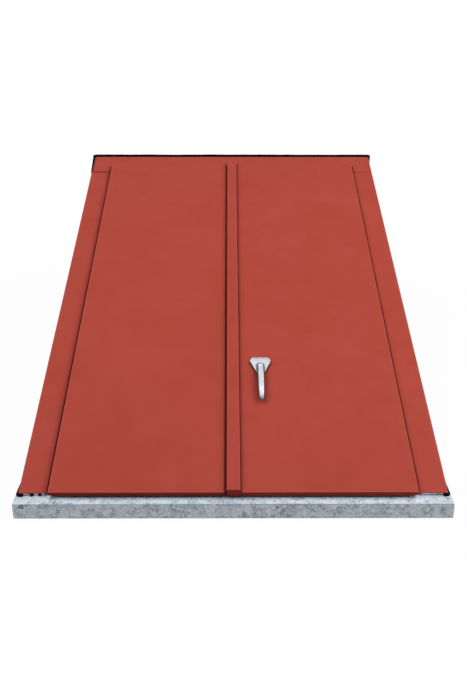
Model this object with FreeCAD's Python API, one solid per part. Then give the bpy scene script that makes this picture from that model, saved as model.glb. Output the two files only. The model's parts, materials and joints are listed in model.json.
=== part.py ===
import FreeCAD, Part
import math
import os

# Bulkhead cellar door: two steel leaves on a sloping frame, on a galvanised base.
# X runs to the right, Y towards the house wall and Z up, in millimetres.
# The origin is the centre of the ground rectangle that the door covers.

# Overall sizes
DOOR_WIDTH = 1295.0  # over the outer faces of the two side panels
RUN = 1930.0  # level length of the sloping frame
RISE = 610.0  # height that the frame gains over that length

# Galvanised base
BASE_HEIGHT = 50.0
BASE_OVERHANG = 8.0  # beyond each side panel
BASE_SHEET = 2.5
BASE_BEND = 3.0
SILL_DEPTH = 75.0  # top flange of the front rail
RAIL_DEPTH = 58.0  # top flange of each side rail
BASE_FOOT = 50.0  # bottom flange of every rail
FRAME_SETBACK = 48.0  # from the front of the base to the front of the frame
CORNER_LEG = 45.0
CORNER_SHEET = 4.0
VENT_RADIUS = 5.5  # hole left for the zinc bath
VENT_INSET = 26.0  # from the left end
VENT_HEIGHT = 43.0
SPARE_HOLE_RADIUS = 2.5
SPARE_HOLE_X = 533.0
SPARE_HOLE_INSET = 12.0

# Sloping frame
FRAME_GAP = 9.0  # from the top of the base to the frame's plane, at the front
FRAME_SHEET = 2.5
FRAME_BEND = 5.0
FLANGE_WIDTH = 84.8
PANEL_FOOT = 50.0
PANEL_REAR_FLANGE = 58.0
PANEL_FOOT_START = 25.0  # behind the frame's front edge
BASE_SEAL = 5.0
BASE_SEAL_WIDTH = 20.0
BASE_SEAL_PROUD = 4.5
CLOSURE_INSET = 1.0  # behind the frame's front edge
CLOSURE_SHEET = 2.0
CLOSURE_FOOT = 12.0
CLOSURE_SLOTS = [(70.5, 10.0), (47.5, 13.0)]  # start inside the panel's face, and width
CLOSURE_SLOT_HEIGHT = 5.0

# Gutters beside the leaves
GUTTER_SHEET = 2.0
GUTTER_BEND = 2.5
GUTTER_LAP = 24.0  # leg that lies under the flange
GUTTER_REVEAL = 2.0  # flange edge beyond the gutter's wall
GUTTER_FLOOR = 12.0  # below the frame's plane
GUTTER_WIDTH = 27.5
GUTTER_UPSTAND = 6.0

# Header across the top
HEADER_END_INSET = 9.0  # inside each side panel's outer face
HEADER_LENGTH = 142.0  # along the slope, at the two ends
HEADER_FACE = 93.0  # along the slope, behind the leaves
HEADER_BEND = 6.0
HEADER_FLANGE = 80.0  # down the house wall
HEADER_UPSTAND = 6.0  # above the frame's plane
HEADER_LAP_GAP = 3.75  # from its rear flange to the side panels' top
WALL_SEAL = 6.0
WALL_SEAL_PROUD_TOP = 8.5
WALL_SEAL_WIDTH = 26.0
WALL_SEAL_TOP_WIDTH = 39.0
END_SEAL_FOOT = 2.0  # width of the top seal's tail at its lower end
END_SEAL_DEPTH = 14.0

# Leaves
LEAF_SHEET = 2.0
LEAF_TOP = 19.0  # above the frame's plane
LEAF_LIP = 17.0
LEAF_SIDE_LIP = 13.0  # lower edge kept high, to swing past the base
LEAF_CORNER_RELIEF = 10.0
LEAF_EDGE_RADIUS = 3.0
LEAF_SIDE_GAP = 7.7  # from the flange's inner edge to the leaf
LEAF_OVERHANG = 13.5  # beyond the frame's front edge
LEAF_REAR_GAP = 7.0  # from the leaf to the header
LEAF_SPLIT = 5.0
STIFFENER_DEPTH = 22.0
STIFFENER_CROWN = 32.0
STIFFENER_FOOT = 14.0
STIFFENER_SHEET = 1.5
STIFFENER_BEND = 3.0
STIFFENER_SIDE_CLEARANCE = 34.0
STIFFENER_INNER_CLEARANCE = 14.0
STIFFENER_COUNT = 4

# Cover strip on the right leaf
STRIP_WIDTH = 41.0
STRIP_HEIGHT = 14.0
STRIP_SHEET = 1.5
STRIP_BEND = 2.5
STRIP_REAR_REACH = 10.0  # beyond the leaf's rear edge

# Hinges
HINGE_INSET = 8.5  # axis inside the leaf's side face
HINGE_DROP = 9.0  # axis below the leaf's top
HINGE_PIN_RADIUS = 3.0
HINGE_PIN_CLEARANCE = 0.05
HINGE_BARREL_RADIUS = 6.0
HINGE_BARREL = 40.0  # the fixed barrel
HINGE_OUTER_BARREL = 25.0  # each barrel on the leaf
HINGE_END_GAP = 1.0
HINGE_STRAP = 60.0
HINGE_STRAP_SHEET = 2.5
HINGE_FOOT = 18.0
HINGE_RUNNING_GAP = 1.0
HINGE_NOTCH_MARGIN = 6.0
HINGE_PIN_HEAD_RADIUS = 4.5
HINGE_PIN_HEAD = 2.0
HINGE_COUNT = 3
HINGE_END_DISTANCE = 250.0

# Handle on the right leaf
HANDLE_X = 95.0
HANDLE_S = 545.0  # along the slope from the frame's front edge
HEAD_WIDTH = 72.0
HEAD_TOP_WIDTH = 58.0
HEAD_FOOT_WIDTH = 27.0
HEAD_ABOVE = 31.0
HEAD_SHOULDER = 15.0
HEAD_BELOW = 42.0
HEAD_THICKNESS = 7.0
HEAD_CORNER = 7.0
HEAD_RIM = 4.0
HEAD_RECESS = 1.5
HEAD_EDGE_RADIUS = 1.5
HEAD_GAP = 0.5
SLOT_WIDTH = 27.0
SLOT_DEPTH = 4.0
SLOT_ABOVE = 2.0  # beyond the spindle's axis
LEVER_WIDTH = 18.5
LEVER_LENGTH = 186.0
LEVER_THICKNESS = 13.0
LEVER_STANDOFF = 14.0
LEVER_SEAT = 0.2
LEVER_SQUARENESS = 0.75  # 1 is an oval, less is squarer
LEVER_POINTS = 24
LEVER_STATIONS = [  # share of length, of width, of thickness, of rise, and lean
    (0.0, 0.97, 1.0, 0.0, 0.0),
    (0.12, 1.0, 1.0, 0.18, 0.22),
    (0.3, 1.0, 1.0, 0.9, 0.16),
    (0.5, 0.98, 1.0, 1.05, 0.0),
    (0.72, 0.93, 0.92, 1.0, -0.05),
    (0.9, 0.74, 0.76, 0.85, -0.12),
    (0.97, 0.58, 0.6, 0.76, -0.2),
    (1.0, 0.34, 0.32, 0.7, -0.3),
]
SPINDLE_RADIUS = 5.0
SPINDLE_SQUARE = 7.0
SPINDLE_CLEARANCE = 0.1
BUSH_RADIUS = 9.0
BUSH_FLANGE_RADIUS = 15.0
BUSH_FLANGE = 2.5
BUSH_LENGTH = 8.0
LATCH_CLEARANCE = 5.5  # below the leaves' lips
LATCH_THICKNESS = 5.0
LATCH_WIDTH = 25.0
LATCH_REACH = 137.0
STRIKE_LENGTH = 90.0
STRIKE_WIDTH = 18.0
STRIKE_SHEET = 2.0

# Threshold and weather seals of the leaves
THRESHOLD_BACK = 6.0  # in front of the sill's rear edge
THRESHOLD_FOOT = 20.0
THRESHOLD_HEIGHT = 16.0
SEAL_WIDTH = 8.0
SEAL_REST_GAP = 0.5
SEAL_GRIP = 5.0
SEAL_END_CLEARANCE = 6.0
CENTRE_SEAL_LOW = 4.0
CENTRE_SEAL_HEIGHT = 12.0

# Fixing holes
ANCHOR_HOLE_RADIUS = 6.0
ANCHOR_INSET = 27.0
ANCHOR_Y_FRONT = 260.0
ANCHOR_Y_SPACING = 1400.0
SILL_ANCHOR_SPACING = 900.0
WALL_HOLE_RADIUS = 5.0
WALL_HOLE_DROP = 55.0
WALL_HOLE_SPACING = 1080.0
WALL_HOLE_INNER_SPACING = 360.0
PANEL_HOLE_INSET = 38.0
PANEL_HOLE_LOW = 160.0
PANEL_HOLE_SPACING = 300.0

# Sizes that follow from the ones above
SLOPE = math.atan2(RISE, RUN)
SLOPE_DEGREES = math.degrees(SLOPE)
PLANE_LENGTH = math.hypot(RUN, RISE)
HALF_WIDTH = DOOR_WIDTH / 2
BASE_HALF = HALF_WIDTH + BASE_OVERHANG
FLANGE_EDGE = HALF_WIDTH - FLANGE_WIDTH
WALL_FACE = FRAME_SETBACK + RUN
DEPTH = WALL_FACE + WALL_SEAL
FRONT = -DEPTH / 2
REAR = WALL_FACE + FRONT
PLANE_Y = FRONT + FRAME_SETBACK
PLANE_Z = BASE_HEIGHT + FRAME_GAP
PANEL_BOTTOM = BASE_HEIGHT + BASE_SEAL
LEAF_SIDE = FLANGE_EDGE - LEAF_SIDE_GAP
LEAF_UNDER = LEAF_TOP - LEAF_SHEET
LEAF_LIP_BOTTOM = LEAF_TOP - LEAF_LIP
LEAF_FRONT = -LEAF_OVERHANG
HEADER_EDGE = PLANE_LENGTH - HEADER_FACE
LEAF_REAR = HEADER_EDGE - LEAF_REAR_GAP
RIGHT_LEAF_INNER = -STRIP_WIDTH / 2
LEFT_LEAF_INNER = RIGHT_LEAF_INNER - LEAF_SPLIT
HINGE_X = LEAF_SIDE - HINGE_INSET
HINGE_N = LEAF_TOP - HINGE_DROP
HINGE_SPAN = HINGE_BARREL / 2 + HINGE_END_GAP + HINGE_OUTER_BARREL
HINGE_STEP = (LEAF_REAR - 2 * HINGE_END_DISTANCE) / (HINGE_COUNT - 1)
HINGE_PLACES = [HINGE_END_DISTANCE + i * HINGE_STEP for i in range(HINGE_COUNT)]
GUTTER_WALL = FLANGE_EDGE + GUTTER_REVEAL
GUTTER_INNER = GUTTER_WALL - GUTTER_WIDTH
GUTTER_BOTTOM = -GUTTER_FLOOR - GUTTER_SHEET
HEADER_TOP = FRAME_SHEET
HEADER_HALF = HALF_WIDTH - HEADER_END_INSET
HEADER_TROUGH = PLANE_LENGTH - HEADER_LENGTH
TROUGH_HALF = GUTTER_INNER - GUTTER_SHEET
HEADER_RIDGE = PLANE_Z + RISE + HEADER_TOP / math.cos(SLOPE)
LATCH_TOP = LEAF_LIP_BOTTOM - LATCH_CLEARANCE
LATCH_BOTTOM = LATCH_TOP - LATCH_THICKNESS
HEAD_UNDER = LEAF_TOP + HEAD_GAP
HEAD_TOP = HEAD_UNDER + HEAD_THICKNESS
LONG = 3 * DEPTH  # longer than any piece
PAST = 1.0  # how far a cutting shape passes a face
NEAR = 1e-6  # lengths closer than this are the same

os.makedirs("parts", exist_ok=True)


def vec(x, y, z):
    return FreeCAD.Vector(x, y, z)


def box(low, high):
    size = [b - a for a, b in zip(low, high)]
    return Part.makeBox(size[0], size[1], size[2], vec(*low))


def on_slope(shape):
    """Moves a shape drawn in (x, along the slope, out of the plane) to its place."""
    placed = shape.copy()
    turn = FreeCAD.Rotation(vec(1, 0, 0), SLOPE_DEGREES)
    placed.Placement = FreeCAD.Placement(vec(0, PLANE_Y, PLANE_Z), turn)
    return placed


def mirrored(shape):
    return shape.mirror(vec(0, 0, 0), vec(1, 0, 0))


def export(name, shape):
    shape.exportStep("parts/" + name + ".step")
    print(name, len(shape.Solids), round(shape.Volume / 1000, 1))


def rounded_edges(points, radii, place):
    """Edges through the points, with an arc of the given radius at each inner one."""
    start = points[0]
    edges = []
    for i in range(1, len(points) - 1):
        before, corner, after = points[i - 1], points[i], points[i + 1]
        a = FreeCAD.Vector(before[0] - corner[0], before[1] - corner[1], 0).normalize()
        b = FreeCAD.Vector(after[0] - corner[0], after[1] - corner[1], 0).normalize()
        half = a.getAngle(b) / 2
        reach = radii[i - 1] / math.tan(half)
        middle = (a + b).normalize()
        depth = radii[i - 1] / math.sin(half) - radii[i - 1]
        enter = (corner[0] + a.x * reach, corner[1] + a.y * reach)
        leave = (corner[0] + b.x * reach, corner[1] + b.y * reach)
        top = (corner[0] + middle.x * depth, corner[1] + middle.y * depth)
        edges.append(Part.LineSegment(place(*start), place(*enter)).toShape())
        edges.append(Part.Arc(place(*enter), place(*top), place(*leave)).toShape())
        start = leave
    edges.append(Part.LineSegment(place(*start), place(*points[-1])).toShape())
    return edges


def offset_points(points, distance):
    """The same open outline, moved to its left by the distance."""
    lines = []
    for (ax, ay), (bx, by) in zip(points, points[1:]):
        length = math.hypot(bx - ax, by - ay)
        ux, uy = (bx - ax) / length, (by - ay) / length
        lines.append(((ax - uy * distance, ay + ux * distance), (ux, uy)))
    moved = [lines[0][0]]
    for ((ax, ay), (ux, uy)), ((bx, by), (vx, vy)) in zip(lines, lines[1:]):
        along = ((bx - ax) * vy - (by - ay) * vx) / (ux * vy - uy * vx)
        moved.append((ax + ux * along, ay + uy * along))
    end = points[-1]
    ux, uy = lines[-1][1]
    moved.append((end[0] - uy * distance, end[1] + ux * distance))
    return moved


def turns_left(points, i):
    (ax, ay), (bx, by), (cx, cy) = points[i - 1:i + 2]
    return (bx - ax) * (cy - by) - (by - ay) * (cx - bx) > 0


def bent_sheet(points, inner_radius, thickness, place, run):
    """A folded sheet: the outline is one face, the metal lies to its left if positive."""
    sheet = abs(thickness)
    near, far = [], []
    for i in range(1, len(points) - 1):
        metal_inside = turns_left(points, i) == (thickness > 0)
        near.append(inner_radius + sheet if metal_inside else inner_radius)
        far.append(inner_radius if metal_inside else inner_radius + sheet)
    other = offset_points(points, thickness)
    edges = rounded_edges(points, near, place)
    edges.append(Part.LineSegment(place(*points[-1]), place(*other[-1])).toShape())
    edges.extend(rounded_edges(other, far, place))
    edges.append(Part.LineSegment(place(*other[0]), place(*points[0])).toShape())
    wire = Part.Wire(Part.__sortEdges__(edges))
    return Part.Face(wire).extrude(run)


def upright_cylinder(x, y, low, high, radius):
    return Part.makeCylinder(radius, high - low, vec(x, y, low), vec(0, 0, 1))


def rear_cylinder(x, z, low, high, radius):
    return Part.makeCylinder(radius, high - low, vec(x, low, z), vec(0, 1, 0))


def make_base_front_rail():
    """Front rail: a channel with its web forward and folded ends."""
    profile = [
        (FRONT + SILL_DEPTH, BASE_HEIGHT),
        (FRONT, BASE_HEIGHT),
        (FRONT, 0),
        (FRONT + BASE_FOOT, 0),
    ]
    inner = BASE_BEND - BASE_SHEET
    along = vec(2 * BASE_HALF, 0, 0)
    rail = bent_sheet(profile, inner, BASE_SHEET, lambda y, z: vec(-BASE_HALF, y, z), along)
    for side in (-1, 1):
        outer = side * BASE_HALF
        face = outer - side * BASE_SHEET
        low, high = min(outer, face), max(outer, face)
        cap = box((low, FRONT, 0), (high, FRONT + SILL_DEPTH, BASE_HEIGHT))
        nose = [e for e in cap.Edges if abs(e.CenterOfMass.y - FRONT) < NEAR]
        nose = [e for e in nose if abs(e.CenterOfMass.z - BASE_HEIGHT / 2) > NEAR]
        rail = rail.fuse(cap.makeFillet(BASE_BEND, nose))
    for x in (-SILL_ANCHOR_SPACING / 2, SILL_ANCHOR_SPACING / 2):
        y = FRONT + ANCHOR_INSET
        hole = upright_cylinder(x, y, -PAST, BASE_SHEET + PAST, ANCHOR_HOLE_RADIUS)
        rail = rail.cut(hole)
    vent_x = VENT_INSET - BASE_HALF
    vent = rear_cylinder(vent_x, VENT_HEIGHT, FRONT - PAST, FRONT + BASE_BEND, VENT_RADIUS)
    spare = upright_cylinder(
        -SPARE_HOLE_X,
        FRONT + SPARE_HOLE_INSET,
        BASE_HEIGHT - BASE_SHEET - PAST,
        BASE_HEIGHT + PAST,
        SPARE_HOLE_RADIUS,
    )
    rail = rail.cut(vent).cut(spare)
    return rail.removeSplitter()


def make_base_side_rail():
    """Right-hand side rail: a channel with its web outward."""
    profile = [
        (BASE_HALF - RAIL_DEPTH, BASE_HEIGHT),
        (BASE_HALF, BASE_HEIGHT),
        (BASE_HALF, 0),
        (BASE_HALF - BASE_FOOT, 0),
    ]
    start = FRONT + SILL_DEPTH
    along = vec(0, REAR - start, 0)
    inner = BASE_BEND - BASE_SHEET
    rail = bent_sheet(profile, inner, -BASE_SHEET, lambda x, z: vec(x, start, z), along)
    for y in (FRONT + ANCHOR_Y_FRONT, FRONT + ANCHOR_Y_FRONT + ANCHOR_Y_SPACING):
        x = BASE_HALF - ANCHOR_INSET
        rail = rail.cut(upright_cylinder(x, y, -PAST, BASE_SHEET + PAST, ANCHOR_HOLE_RADIUS))
    return rail


def make_base_corner():
    """Splice plate inside the right front corner of the base."""
    back = FRONT + SILL_DEPTH
    outer = BASE_HALF - BASE_SHEET
    return box(
        (outer - CORNER_SHEET, back - CORNER_LEG, BASE_BEND),
        (outer, back + CORNER_LEG, BASE_HEIGHT - BASE_BEND),
    )


def make_side_panel():
    """Right side panel: a tapering wall with folded top, bottom and rear flanges."""
    profile = [(FLANGE_EDGE, 0), (HALF_WIDTH, 0), (HALF_WIDTH, -LONG)]
    inner = FRAME_BEND - FRAME_SHEET
    along = vec(0, PLANE_LENGTH + LONG, 0)
    folded = bent_sheet(profile, inner, -FRAME_SHEET, lambda x, n: vec(x, 0, n), along)
    back = REAR - FRAME_SHEET
    keep = box((0, FRONT, PANEL_BOTTOM), (LONG, back, LONG))
    panel = on_slope(folded).common(keep)
    foot_inner = HALF_WIDTH - PANEL_FOOT
    foot = box(
        (foot_inner, PLANE_Y + PANEL_FOOT_START, PANEL_BOTTOM),
        (HALF_WIDTH, back, PANEL_BOTTOM + FRAME_SHEET),
    )
    rear_top = HEADER_RIDGE - HEADER_FLANGE - HEADER_LAP_GAP
    rear = box(
        (HALF_WIDTH - PANEL_REAR_FLANGE, back, PANEL_BOTTOM), (HALF_WIDTH, REAR, rear_top)
    )
    under_header = box(
        (0, REAR - 2 * HEADER_BEND, rear_top), (HEADER_HALF + PAST, REAR + PAST, LONG)
    )
    panel = panel.fuse([foot, rear]).cut(under_header)
    for z in (PANEL_HOLE_LOW, PANEL_HOLE_LOW + PANEL_HOLE_SPACING):
        x = HALF_WIDTH - PANEL_HOLE_INSET
        panel = panel.cut(rear_cylinder(x, z, back - PAST, REAR + PAST, WALL_HOLE_RADIUS))
    return panel.removeSplitter()


def make_gutter():
    """Right gutter: hangs under the flange and drains over the sill."""
    profile = [
        (GUTTER_WALL + GUTTER_LAP, -FRAME_SHEET),
        (GUTTER_WALL, -FRAME_SHEET),
        (GUTTER_WALL, -GUTTER_FLOOR),
        (GUTTER_INNER, -GUTTER_FLOOR),
        (GUTTER_INNER, GUTTER_UPSTAND - GUTTER_FLOOR),
    ]
    drop = FRAME_GAP + GUTTER_BOTTOM * math.cos(SLOPE)
    start = -drop / math.sin(SLOPE)
    end = HEADER_EDGE - GUTTER_SHEET
    along = vec(0, end - start, 0)
    gutter = bent_sheet(
        profile, GUTTER_BEND, GUTTER_SHEET, lambda x, n: vec(x, start, n), along
    )
    mouth = box(
        (TROUGH_HALF - PAST, HEADER_TROUGH + FRAME_SHEET, -GUTTER_FLOOR),
        (GUTTER_INNER + PAST, end + PAST, 0),
    )
    return on_slope(gutter.cut(mouth))


def make_header():
    """Header: trough under the leaves, sloping face, and a flange down the wall."""
    wall_down = (-math.sin(SLOPE) * HEADER_FLANGE, -math.cos(SLOPE) * HEADER_FLANGE)
    ridge = (PLANE_LENGTH + HEADER_TOP * math.tan(SLOPE), HEADER_TOP)
    foot = (ridge[0] + wall_down[0], ridge[1] + wall_down[1])
    trough = HEADER_TROUGH + FRAME_SHEET
    centre = [
        (trough, HEADER_UPSTAND),
        (trough, -GUTTER_FLOOR),
        (HEADER_EDGE, -GUTTER_FLOOR),
        (HEADER_EDGE, HEADER_TOP),
        ridge,
        foot,
    ]
    inner = HEADER_BEND - FRAME_SHEET
    pieces = []
    reach = TROUGH_HALF - SEAL_WIDTH
    pieces.append(header_strip(centre, -reach, reach, inner))
    wing = [(trough, GUTTER_UPSTAND - GUTTER_FLOOR)] + centre[1:]
    pieces.append(header_strip(wing, -TROUGH_HALF, -reach, inner))
    pieces.append(header_strip(wing, reach, TROUGH_HALF, inner))
    pieces.append(header_strip(centre[2:], -FLANGE_EDGE, FLANGE_EDGE, inner))
    lap = [(HEADER_TROUGH, HEADER_TOP), ridge, foot]
    pieces.append(header_strip(lap, -HEADER_HALF, -FLANGE_EDGE, inner))
    pieces.append(header_strip(lap, FLANGE_EDGE, HEADER_HALF, inner))
    header = pieces[0].fuse(pieces[1:])
    gap = LEAF_LIP_BOTTOM - SEAL_END_CLEARANCE
    notch = box(
        (LEFT_LEAF_INNER - LEAF_SHEET - SEAL_END_CLEARANCE, HEADER_TROUGH - PAST, gap),
        (RIGHT_LEAF_INNER + LEAF_SHEET + SEAL_END_CLEARANCE, trough + PAST, LEAF_TOP),
    )
    header = on_slope(header.cut(notch))
    for half in (WALL_HOLE_SPACING / 2, WALL_HOLE_INNER_SPACING / 2):
        for x in (-half, half):
            z = HEADER_RIDGE - WALL_HOLE_DROP
            drill = rear_cylinder(x, z, REAR - 2 * FRAME_SHEET, REAR + PAST, WALL_HOLE_RADIUS)
            header = header.cut(drill)
    return header.removeSplitter()


def header_strip(points, low, high, inner):
    place = lambda s, n: vec(low, s, n)
    return bent_sheet(points, inner, -FRAME_SHEET, place, vec(high - low, 0, 0))


def make_wall_seal_top():
    top = HEADER_RIDGE + WALL_SEAL_PROUD_TOP
    return box(
        (-BASE_HALF, REAR, top - WALL_SEAL_TOP_WIDTH), (BASE_HALF, REAR + WALL_SEAL, top)
    )


def make_wall_seal_side():
    top = HEADER_RIDGE + WALL_SEAL_PROUD_TOP - WALL_SEAL_TOP_WIDTH
    inner = BASE_HALF - WALL_SEAL_WIDTH
    return box((inner, REAR, BASE_HEIGHT), (BASE_HALF, REAR + WALL_SEAL, top))


def make_end_seal():
    """Tail of the top seal, squeezed out beside the header's left end."""
    rear = PLANE_LENGTH + END_SEAL_DEPTH
    corners = [
        (-HALF_WIDTH, HEADER_TROUGH),
        (-HALF_WIDTH, rear),
        (-BASE_HALF, rear),
        (-HALF_WIDTH - END_SEAL_FOOT, HEADER_TROUGH),
    ]
    points = [vec(x, s, HEADER_TOP - END_SEAL_DEPTH) for x, s in corners]
    outline = Part.Face(Part.makePolygon(points + points[:1]))
    tail = outline.extrude(vec(0, 0, END_SEAL_DEPTH))
    before_wall = box((-LONG, -LONG, -LONG), (LONG, REAR, LONG))
    return on_slope(tail).common(before_wall)


def make_base_seal():
    """Rubber strip between the right side panel and the base rail."""
    outer = HALF_WIDTH + BASE_SEAL_PROUD
    start = PLANE_Y - BASE_SEAL_PROUD
    strip = box((outer - BASE_SEAL_WIDTH, start, BASE_HEIGHT), (outer, REAR, PANEL_BOTTOM))
    corner = []
    for edge in strip.Edges:
        middle = edge.CenterOfMass
        if abs(middle.x - outer) < NEAR and abs(middle.y - start) < NEAR:
            corner.append(edge)
    return strip.makeFillet(BASE_SEAL_PROUD, corner)


def make_closure(slots):
    """Small angle that closes the gap under the right flange's front edge."""
    front = PLANE_Y + CLOSURE_INSET
    low = GUTTER_WALL + GUTTER_SHEET
    high = HALF_WIDTH + BASE_SEAL_PROUD - BASE_SEAL_WIDTH
    profile = [
        (front, BASE_HEIGHT + FRAME_GAP),
        (front, BASE_HEIGHT),
        (front + CLOSURE_FOOT, BASE_HEIGHT),
    ]
    run = vec(high - low, 0, 0)
    inner = CLOSURE_SHEET / 2
    angle = bent_sheet(profile, inner, CLOSURE_SHEET, lambda y, z: vec(low, y, z), run)
    under = box((-LONG, -LONG, -LONG), (LONG, LONG, -FRAME_SHEET))
    angle = angle.common(on_slope(under))
    slot_low = BASE_HEIGHT + CLOSURE_SHEET / 2
    back = front + CLOSURE_SHEET + PAST
    for inset, width in slots:
        place = HALF_WIDTH - inset
        opening = box(
            (place, front - PAST, slot_low),
            (place + width, back, slot_low + CLOSURE_SLOT_HEIGHT),
        )
        angle = angle.cut(opening)
    return angle


def leaf_pan(low_x, high_x):
    """A leaf's skin with its four folded lips."""
    outer = box((low_x, LEAF_FRONT, LEAF_LIP_BOTTOM), (high_x, LEAF_REAR, LEAF_TOP))
    rims = []
    for edge in outer.Edges:
        middle = edge.CenterOfMass
        on_top = abs(middle.z - LEAF_TOP) < NEAR
        upright = abs(middle.z - (LEAF_TOP + LEAF_LIP_BOTTOM) / 2) < NEAR
        if on_top or upright:
            rims.append(edge)
    outer = outer.makeFillet(LEAF_EDGE_RADIUS, rims)
    inside = box(
        (low_x + LEAF_SHEET, LEAF_FRONT + LEAF_SHEET, LEAF_LIP_BOTTOM - PAST),
        (high_x - LEAF_SHEET, LEAF_REAR - LEAF_SHEET, LEAF_UNDER),
    )
    rims = []
    for edge in inside.Edges:
        middle = edge.CenterOfMass
        on_top = abs(middle.z - LEAF_UNDER) < NEAR
        upright = abs(middle.z - (LEAF_UNDER + LEAF_LIP_BOTTOM - PAST) / 2) < NEAR
        if on_top or upright:
            rims.append(edge)
    return outer.cut(inside.makeFillet(LEAF_EDGE_RADIUS - LEAF_SHEET, rims))


def notched_pan(low_x, high_x, hinge_side):
    """The pan with its outer lip trimmed, and a window in it for each hinge."""
    inner = hinge_side * (LEAF_SIDE - LEAF_CORNER_RELIEF)
    outer = hinge_side * (LEAF_SIDE + PAST)
    relief = box(
        (min(inner, outer), LEAF_FRONT - PAST, LEAF_LIP_BOTTOM - PAST),
        (max(inner, outer), LEAF_REAR + PAST, LEAF_TOP - LEAF_SIDE_LIP),
    )
    pan = leaf_pan(low_x, high_x).cut(relief)
    reach = HINGE_SPAN + HINGE_NOTCH_MARGIN
    near = hinge_side * (LEAF_SIDE - LEAF_EDGE_RADIUS)
    far = hinge_side * (LEAF_SIDE + PAST)
    for place in HINGE_PLACES:
        window = box(
            (min(near, far), place - reach, LEAF_LIP_BOTTOM - PAST),
            (max(near, far), place + reach, LEAF_UNDER),
        )
        pan = pan.cut(window)
    return pan


def make_right_leaf():
    pan = notched_pan(RIGHT_LEAF_INNER, LEAF_SIDE, 1)
    hole = upright_cylinder(HANDLE_X, HANDLE_S, LEAF_LIP_BOTTOM, LEAF_TOP + PAST, BUSH_RADIUS)
    return on_slope(pan.cut(hole))


def make_left_leaf():
    return on_slope(notched_pan(-LEAF_SIDE, LEFT_LEAF_INNER, -1))


def make_stiffener(low_x, high_x, place):
    """Hat section under a leaf, closed side down."""
    half = STIFFENER_CROWN / 2
    bottom = LEAF_UNDER - STIFFENER_DEPTH
    profile = [
        (place - half - STIFFENER_FOOT, LEAF_UNDER),
        (place - half, LEAF_UNDER),
        (place - half, bottom + STIFFENER_SHEET),
        (place + half, bottom + STIFFENER_SHEET),
        (place + half, LEAF_UNDER),
        (place + half + STIFFENER_FOOT, LEAF_UNDER),
    ]
    inner = STIFFENER_BEND - STIFFENER_SHEET
    run = vec(high_x - low_x, 0, 0)
    hat = bent_sheet(profile, inner, -STIFFENER_SHEET, lambda s, n: vec(low_x, s, n), run)
    return on_slope(hat)


def make_cover_strip():
    """Raised strip along the right leaf's inner edge, closed at both ends."""
    half = STRIP_WIDTH / 2
    top = LEAF_TOP + STRIP_HEIGHT
    front = LEAF_FRONT - STRIP_SHEET
    rear = LEAF_REAR + STRIP_REAR_REACH
    profile = [(-half, LEAF_TOP), (-half, top), (half, top), (half, LEAF_TOP)]
    inner = STRIP_BEND - STRIP_SHEET
    run = vec(0, rear - front, 0)
    strip = bent_sheet(profile, inner, -STRIP_SHEET, lambda x, n: vec(x, front, n), run)
    cap = box((-half, front, LEAF_LIP_BOTTOM), (half, LEAF_FRONT, top - STRIP_BEND))
    upper = box((-half + STRIP_BEND, front, LEAF_TOP), (half - STRIP_BEND, LEAF_FRONT, top))
    back = box(
        (-half + STRIP_BEND, rear - STRIP_SHEET, LEAF_TOP), (half - STRIP_BEND, rear, top)
    )
    return on_slope(strip.fuse([cap, upper, back]).removeSplitter())


def barrel(side, low, high, radius):
    axis = vec(side * HINGE_X, low, HINGE_N)
    return Part.makeCylinder(radius, high - low, axis, vec(0, 1, 0))


def make_hinge_bracket(place):
    """Fixed half of a right-hand hinge: foot on the gutter floor and one barrel."""
    half = HINGE_BARREL / 2
    outer = barrel(1, place - half, place + half, HINGE_BARREL_RADIUS)
    face = HINGE_X - HINGE_BARREL_RADIUS
    leg = box(
        (face, place - half, -GUTTER_FLOOR),
        (face + HINGE_STRAP_SHEET, place + half, HINGE_N),
    )
    foot = box(
        (face, place - half, -GUTTER_FLOOR),
        (face + HINGE_FOOT, place + half, -GUTTER_FLOOR + HINGE_STRAP_SHEET),
    )
    bore = barrel(
        1, place - half - PAST, place + half + PAST, HINGE_PIN_RADIUS + HINGE_PIN_CLEARANCE
    )
    return on_slope(outer.fuse([leg, foot]).cut(bore).removeSplitter())


def make_hinge_strap(place):
    """Leaf half of a right-hand hinge: strap under the skin and two barrels."""
    half = HINGE_BARREL / 2 + HINGE_END_GAP
    strap = box(
        (HINGE_X - HINGE_STRAP, place - HINGE_SPAN, LEAF_UNDER - HINGE_STRAP_SHEET),
        (HINGE_X, place + HINGE_SPAN, LEAF_UNDER),
    )
    ends = [
        barrel(1, place - HINGE_SPAN, place - half, HINGE_BARREL_RADIUS),
        barrel(1, place + half, place + HINGE_SPAN, HINGE_BARREL_RADIUS),
    ]
    relief = barrel(1, place - half, place + half, HINGE_BARREL_RADIUS + HINGE_RUNNING_GAP)
    bore = barrel(1, place - HINGE_SPAN - PAST, place + HINGE_SPAN + PAST, HINGE_PIN_RADIUS)
    return on_slope(strap.fuse(ends).cut(relief).cut(bore).removeSplitter())


def make_hinge_pin(place):
    """Pin of a right-hand hinge, with a head at its lower end."""
    low = place - HINGE_SPAN
    shank = barrel(1, low, place + HINGE_SPAN, HINGE_PIN_RADIUS)
    head = barrel(1, low - HINGE_PIN_HEAD, low, HINGE_PIN_HEAD_RADIUS)
    return on_slope(shank.fuse(head).removeSplitter())


def make_threshold(low_x, high_x):
    """Angle on the sill that stops water under a leaf."""
    back = FRONT + SILL_DEPTH - THRESHOLD_BACK
    profile = [
        (back - THRESHOLD_FOOT, BASE_HEIGHT),
        (back, BASE_HEIGHT),
        (back, BASE_HEIGHT + THRESHOLD_HEIGHT),
    ]
    run = vec(high_x - low_x, 0, 0)
    return bent_sheet(
        profile, GUTTER_BEND, GUTTER_SHEET, lambda y, z: vec(low_x, y, z), run
    )


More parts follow.
